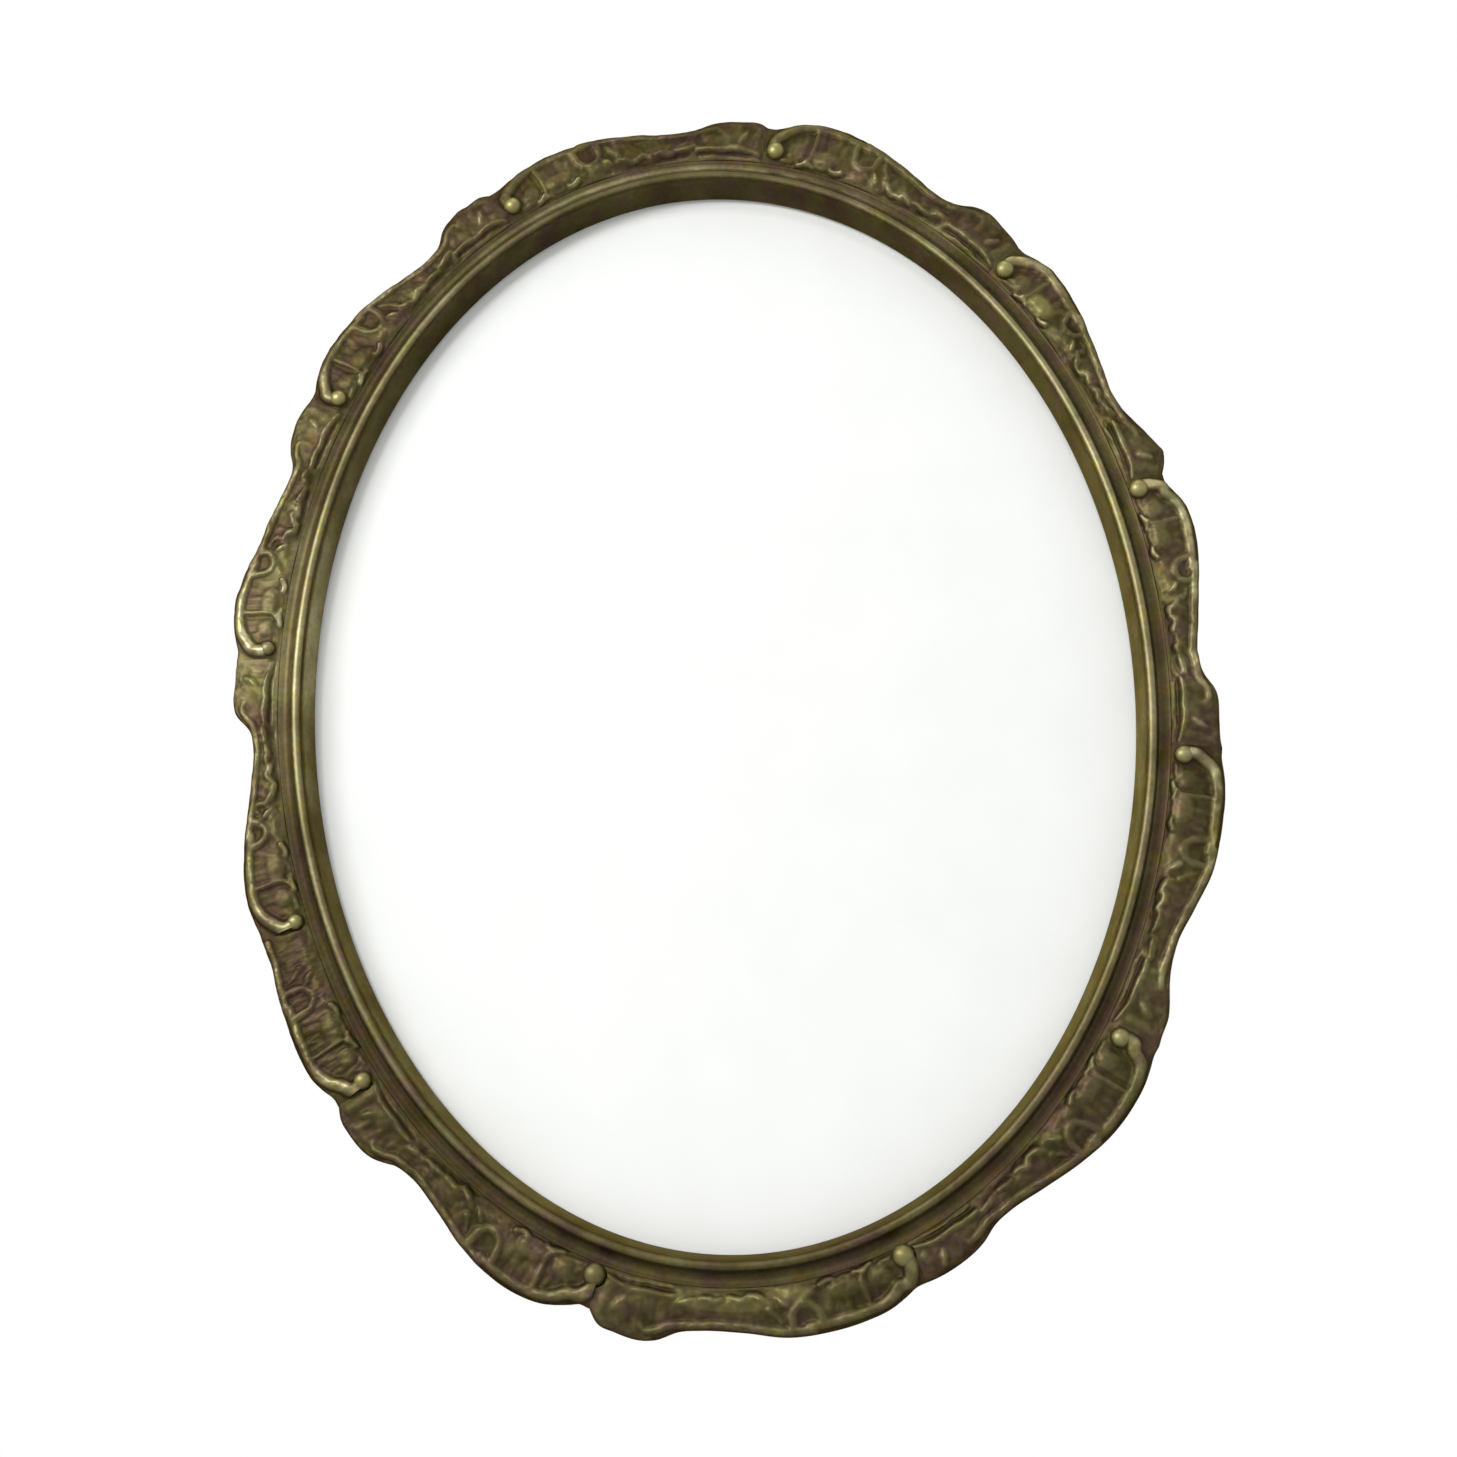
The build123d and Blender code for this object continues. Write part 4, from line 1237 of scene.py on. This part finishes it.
# %% Moulding segments
REBATE_REACH, LEDGE_REACH, CHANNEL_REACH, SIDE_REACH = 6.8, 5.0, 10.57, 17.5
LEDGE_HEIGHT, BACK_HEIGHT = 3.8, -6.8
SLANT_REACH, SLANT_HEIGHT = 16.0, -5.3
CHANNEL_START, PLAIN_RUB = 7.5, 0.20
SEGMENTS = ("top", "left", "bottom", "right")
seat_corner, side_corner = (SIDE_REACH, SEAT_HEIGHT), (SIDE_REACH, SLANT_HEIGHT)
back_corner, rebate_corner = (SLANT_REACH, BACK_HEIGHT), (REBATE_REACH, BACK_HEIGHT)
channel = [(6.62, 10.07), (7.1, 9.75), (7.6, 9.52), (8.1, 9.40), (8.6, 9.38), (9.1, 9.46)]
channel += [(9.6, 9.62), (10.1, 9.84), (CHANNEL_REACH, 10.10)]
moulding = channel + [(CHANNEL_REACH, SEAT_HEIGHT), seat_corner, side_corner]
moulding += [back_corner, rebate_corner, (REBATE_REACH, 0.0), (LEDGE_REACH, 0.0)]
moulding += [(LEDGE_REACH, LEDGE_HEIGHT), (REBATE_REACH, LEDGE_HEIGHT)]
arrises = {seat_corner: 0.5, side_corner: 0.4, back_corner: 0.4, rebate_corner: 0.35}


def moulding_wear_and_light(reach, height, turn):
    """The hollow's wear and painted light in the channel, plain elsewhere."""
    return hollow_wear_and_light(turn, reach) if height > CHANNEL_START else PLAIN_RUB


for index, name in enumerate(SEGMENTS):
    start = math.pi / 4 + index * math.pi / 2
    mesh = turned(
        f"moulding_segment_{name}", moulding, moulding_wear_and_light, start, math.pi / 2, 90, arrises
    )
    dress(mesh, wood, "moulding_wood", f"moulding_{name}")

# %% [markdown]
# Glass, card and board are equal ovals cut to drop in the rebate. The glass has to
# let the lamps through to the card, or the card would look grey, so it is mixed
# with a clear shader for shadow rays. Each sheet stands a hair apart from the next,
# because two surfaces at one depth would flicker. The card and the beech tongues in
# the joints share one plain fibre finish.

# %% Oval sheets
SHEET_GAP = 0.00004


def oval_sheet(name, node, eased):
    """Oval plate the size of its CAD node, with eased edges and a hair of play."""
    low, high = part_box(node)
    half_x, half_z = (high.x - low.x) / 2, (high.z - low.z) / 2
    front, back = low.y + SHEET_GAP, high.y - SHEET_GAP
    bm = bmesh.new()
    bmesh.ops.create_circle(bm, cap_ends=True, segments=240, radius=1.0)
    bmesh.ops.scale(bm, verts=bm.verts, vec=(half_x, half_z, 1.0))
    flat = Matrix.Rotation(math.radians(90), 4, "X")
    bmesh.ops.transform(bm, matrix=flat, verts=bm.verts)
    bmesh.ops.translate(bm, verts=bm.verts, vec=(0, front, 0))
    pulled = bmesh.ops.extrude_face_region(bm, geom=list(bm.faces))["geom"]
    top = [item for item in pulled if isinstance(item, bmesh.types.BMVert)]
    bmesh.ops.translate(bm, verts=top, vec=(0, back - front, 0))
    bmesh.ops.recalc_face_normals(bm, faces=bm.faces)
    borders = [e for e in bm.edges if any(len(f.verts) > 8 for f in e.link_faces)]
    bmesh.ops.bevel(
        bm, geom=borders, offset=eased, affect="EDGES", segments=2, profile=0.5, material=-1
    )
    mesh = bpy.data.meshes.new(name)
    bm.to_mesh(mesh)
    bm.free()
    return mesh


def clear_glass(name):
    """Glass that lets lamps through, with a faint green tint."""
    material, tree, shader = material_base(name)
    shader.inputs["Base Color"].default_value = (0.99, 0.995, 0.99, 1)
    shader.inputs["Transmission Weight"].default_value = 1.0
    shader.inputs["Roughness"].default_value = 0.0
    shader.inputs["IOR"].default_value = 1.45
    clear = tree.nodes.new("ShaderNodeBsdfTransparent")
    clear.inputs["Color"].default_value = (0.99, 0.995, 0.99, 1)
    path = tree.nodes.new("ShaderNodeLightPath")
    lamp = sums(tree, "MAXIMUM", path.outputs["Is Shadow Ray"], path.outputs["Is Diffuse Ray"])
    show_mix(tree, lamp, shader, clear)
    return material


def fibre_finish(name, dark, light):
    """Smooth matt surface with a faint fibre, between two near colours."""
    material, tree, shader = material_base(name)
    coords = object_coords(tree)
    fibre = noise(tree, coords, 900.0, 4.0)
    cloud = noise(tree, coords, 30.0, 2.0)
    mixed = sums(tree, "MULTIPLY_ADD", fibre, 0.3, cloud)
    colour = ramp(tree, mixed, [(0.35, dark), (0.9, light)])
    tree.links.new(colour, shader.inputs["Base Color"])
    shader.inputs["Roughness"].default_value = 0.8
    add_bump(tree, shader, fibre, 0.15, 0.00005)
    return material


def hardboard(name):
    """Pressed board with the mesh print that its press leaves on the back."""
    material, tree, shader = material_base(name)
    coords = object_coords(tree)
    cloud = noise(tree, coords, 60.0, 6.0, 0.65)
    fleck = noise(tree, coords, 1400.0, 3.0)
    mixed = sums(tree, "MULTIPLY_ADD", fleck, 0.35, cloud)
    stops = [(0.40, (0.10, 0.052, 0.026)), (0.68, (0.17, 0.095, 0.05))]
    stops += [(0.95, (0.25, 0.15, 0.085))]
    tree.links.new(ramp(tree, mixed, stops), shader.inputs["Base Color"])
    shader.inputs["Roughness"].default_value = 0.72
    weave = None
    for direction in ("X", "Z"):
        wave = tree.nodes.new("ShaderNodeTexWave")
        wave.bands_direction = direction
        wave.inputs["Scale"].default_value = 260.0
        wave.inputs["Distortion"].default_value = 0.6
        tree.links.new(coords, wave.inputs["Vector"])
        now = wave.outputs["Fac"]
        weave = now if weave is None else sums(tree, "MULTIPLY", weave, now)
    add_bump(tree, shader, sums(tree, "MULTIPLY_ADD", fleck, 0.4, weave), 0.5, 0.0002)
    return material


card = fibre_finish("white_card", (0.90, 0.90, 0.89), (0.94, 0.94, 0.935))
SHEETS = [
    ("glass_sheet", "glass_pane", 0.0003, clear_glass("clear_glass"), "glass"),
    ("white_card_sheet", "blank_card", 0.0002, card, "card"),
    ("back_board", "backing_board", 0.0004, hardboard("hardboard"), "hardboard"),
]
for name, node, eased, material, slot in SHEETS:
    dress(oval_sheet(name, node, eased), material, slot, node)

# %% [markdown]
# The small hardware keeps its CAD shapes, which already carry the bores, slots and
# rounded heads, and gets worn metal finishes: brushed brass for what the maker
# stamped, dull zinc for the screws, and felt for the bumpers.

# %% Hardware finishes
def worn_metal(name, dark, plain, bright, rough, streak):
    """Metal with tarnish clouds, fine scratches and uneven polish."""
    material, tree, shader = material_base(name)
    coords = object_coords(tree)
    cloud = noise(tree, coords, 180.0, 5.0, 0.6)
    stretch = tree.nodes.new("ShaderNodeMapping")
    stretch.inputs["Scale"].default_value = streak
    tree.links.new(coords, stretch.inputs["Vector"])
    scratch = noise(tree, stretch.outputs[0], 1.0, 3.0)
    mixed = sums(tree, "MULTIPLY_ADD", scratch, 0.45, cloud)
    stops = [(0.45, dark), (0.70, plain), (1.0, bright)]
    tree.links.new(ramp(tree, mixed, stops), shader.inputs["Base Color"])
    shader.inputs["Metallic"].default_value = 0.95
    dull = sums(tree, "MULTIPLY_ADD", mixed, 0.3, rough - 0.2)
    tree.links.new(dull, shader.inputs["Roughness"])
    add_bump(tree, shader, scratch, 0.2, 0.00008)
    return material


def felt(name):
    """Dense dark felt with a little fuzz."""
    material, tree, shader = material_base(name)
    coords = object_coords(tree)
    fuzz = noise(tree, coords, 2600.0, 5.0, 0.7)
    colour = ramp(tree, fuzz, [(0.3, (0.018, 0.015, 0.013)), (0.75, (0.075, 0.065, 0.055))])
    tree.links.new(colour, shader.inputs["Base Color"])
    shader.inputs["Roughness"].default_value = 0.95
    shader.inputs["Sheen Weight"].default_value = 0.4
    add_bump(tree, shader, fuzz, 0.8, 0.0004)
    return material


brass = worn_metal(
    "stamped_brass", (0.12, 0.075, 0.025), (0.40, 0.28, 0.10), (0.60, 0.46, 0.20), 0.36,
    (300.0, 300.0, 4000.0),
)
zinc = worn_metal(
    "dull_zinc", (0.10, 0.098, 0.09), (0.32, 0.32, 0.30), (0.52, 0.52, 0.50), 0.42,
    (2500.0, 2500.0, 2500.0),
)
beech = fibre_finish("plain_beech", (0.32, 0.20, 0.10), (0.50, 0.34, 0.19))
finishes = {"brass": brass, "steel": zinc, "felt": felt("bumper_felt"), "tongue_wood": beech}
for subpart in frame["record"]["subparts"]:
    if subpart["material_slot"] in finishes:
        node = frame["nodes"][subpart["node"]]
        node.data.materials.clear()
        node.data.materials.append(finishes[subpart["material_slot"]])
        print(subpart["node"], "wears", finishes[subpart["material_slot"]].name)
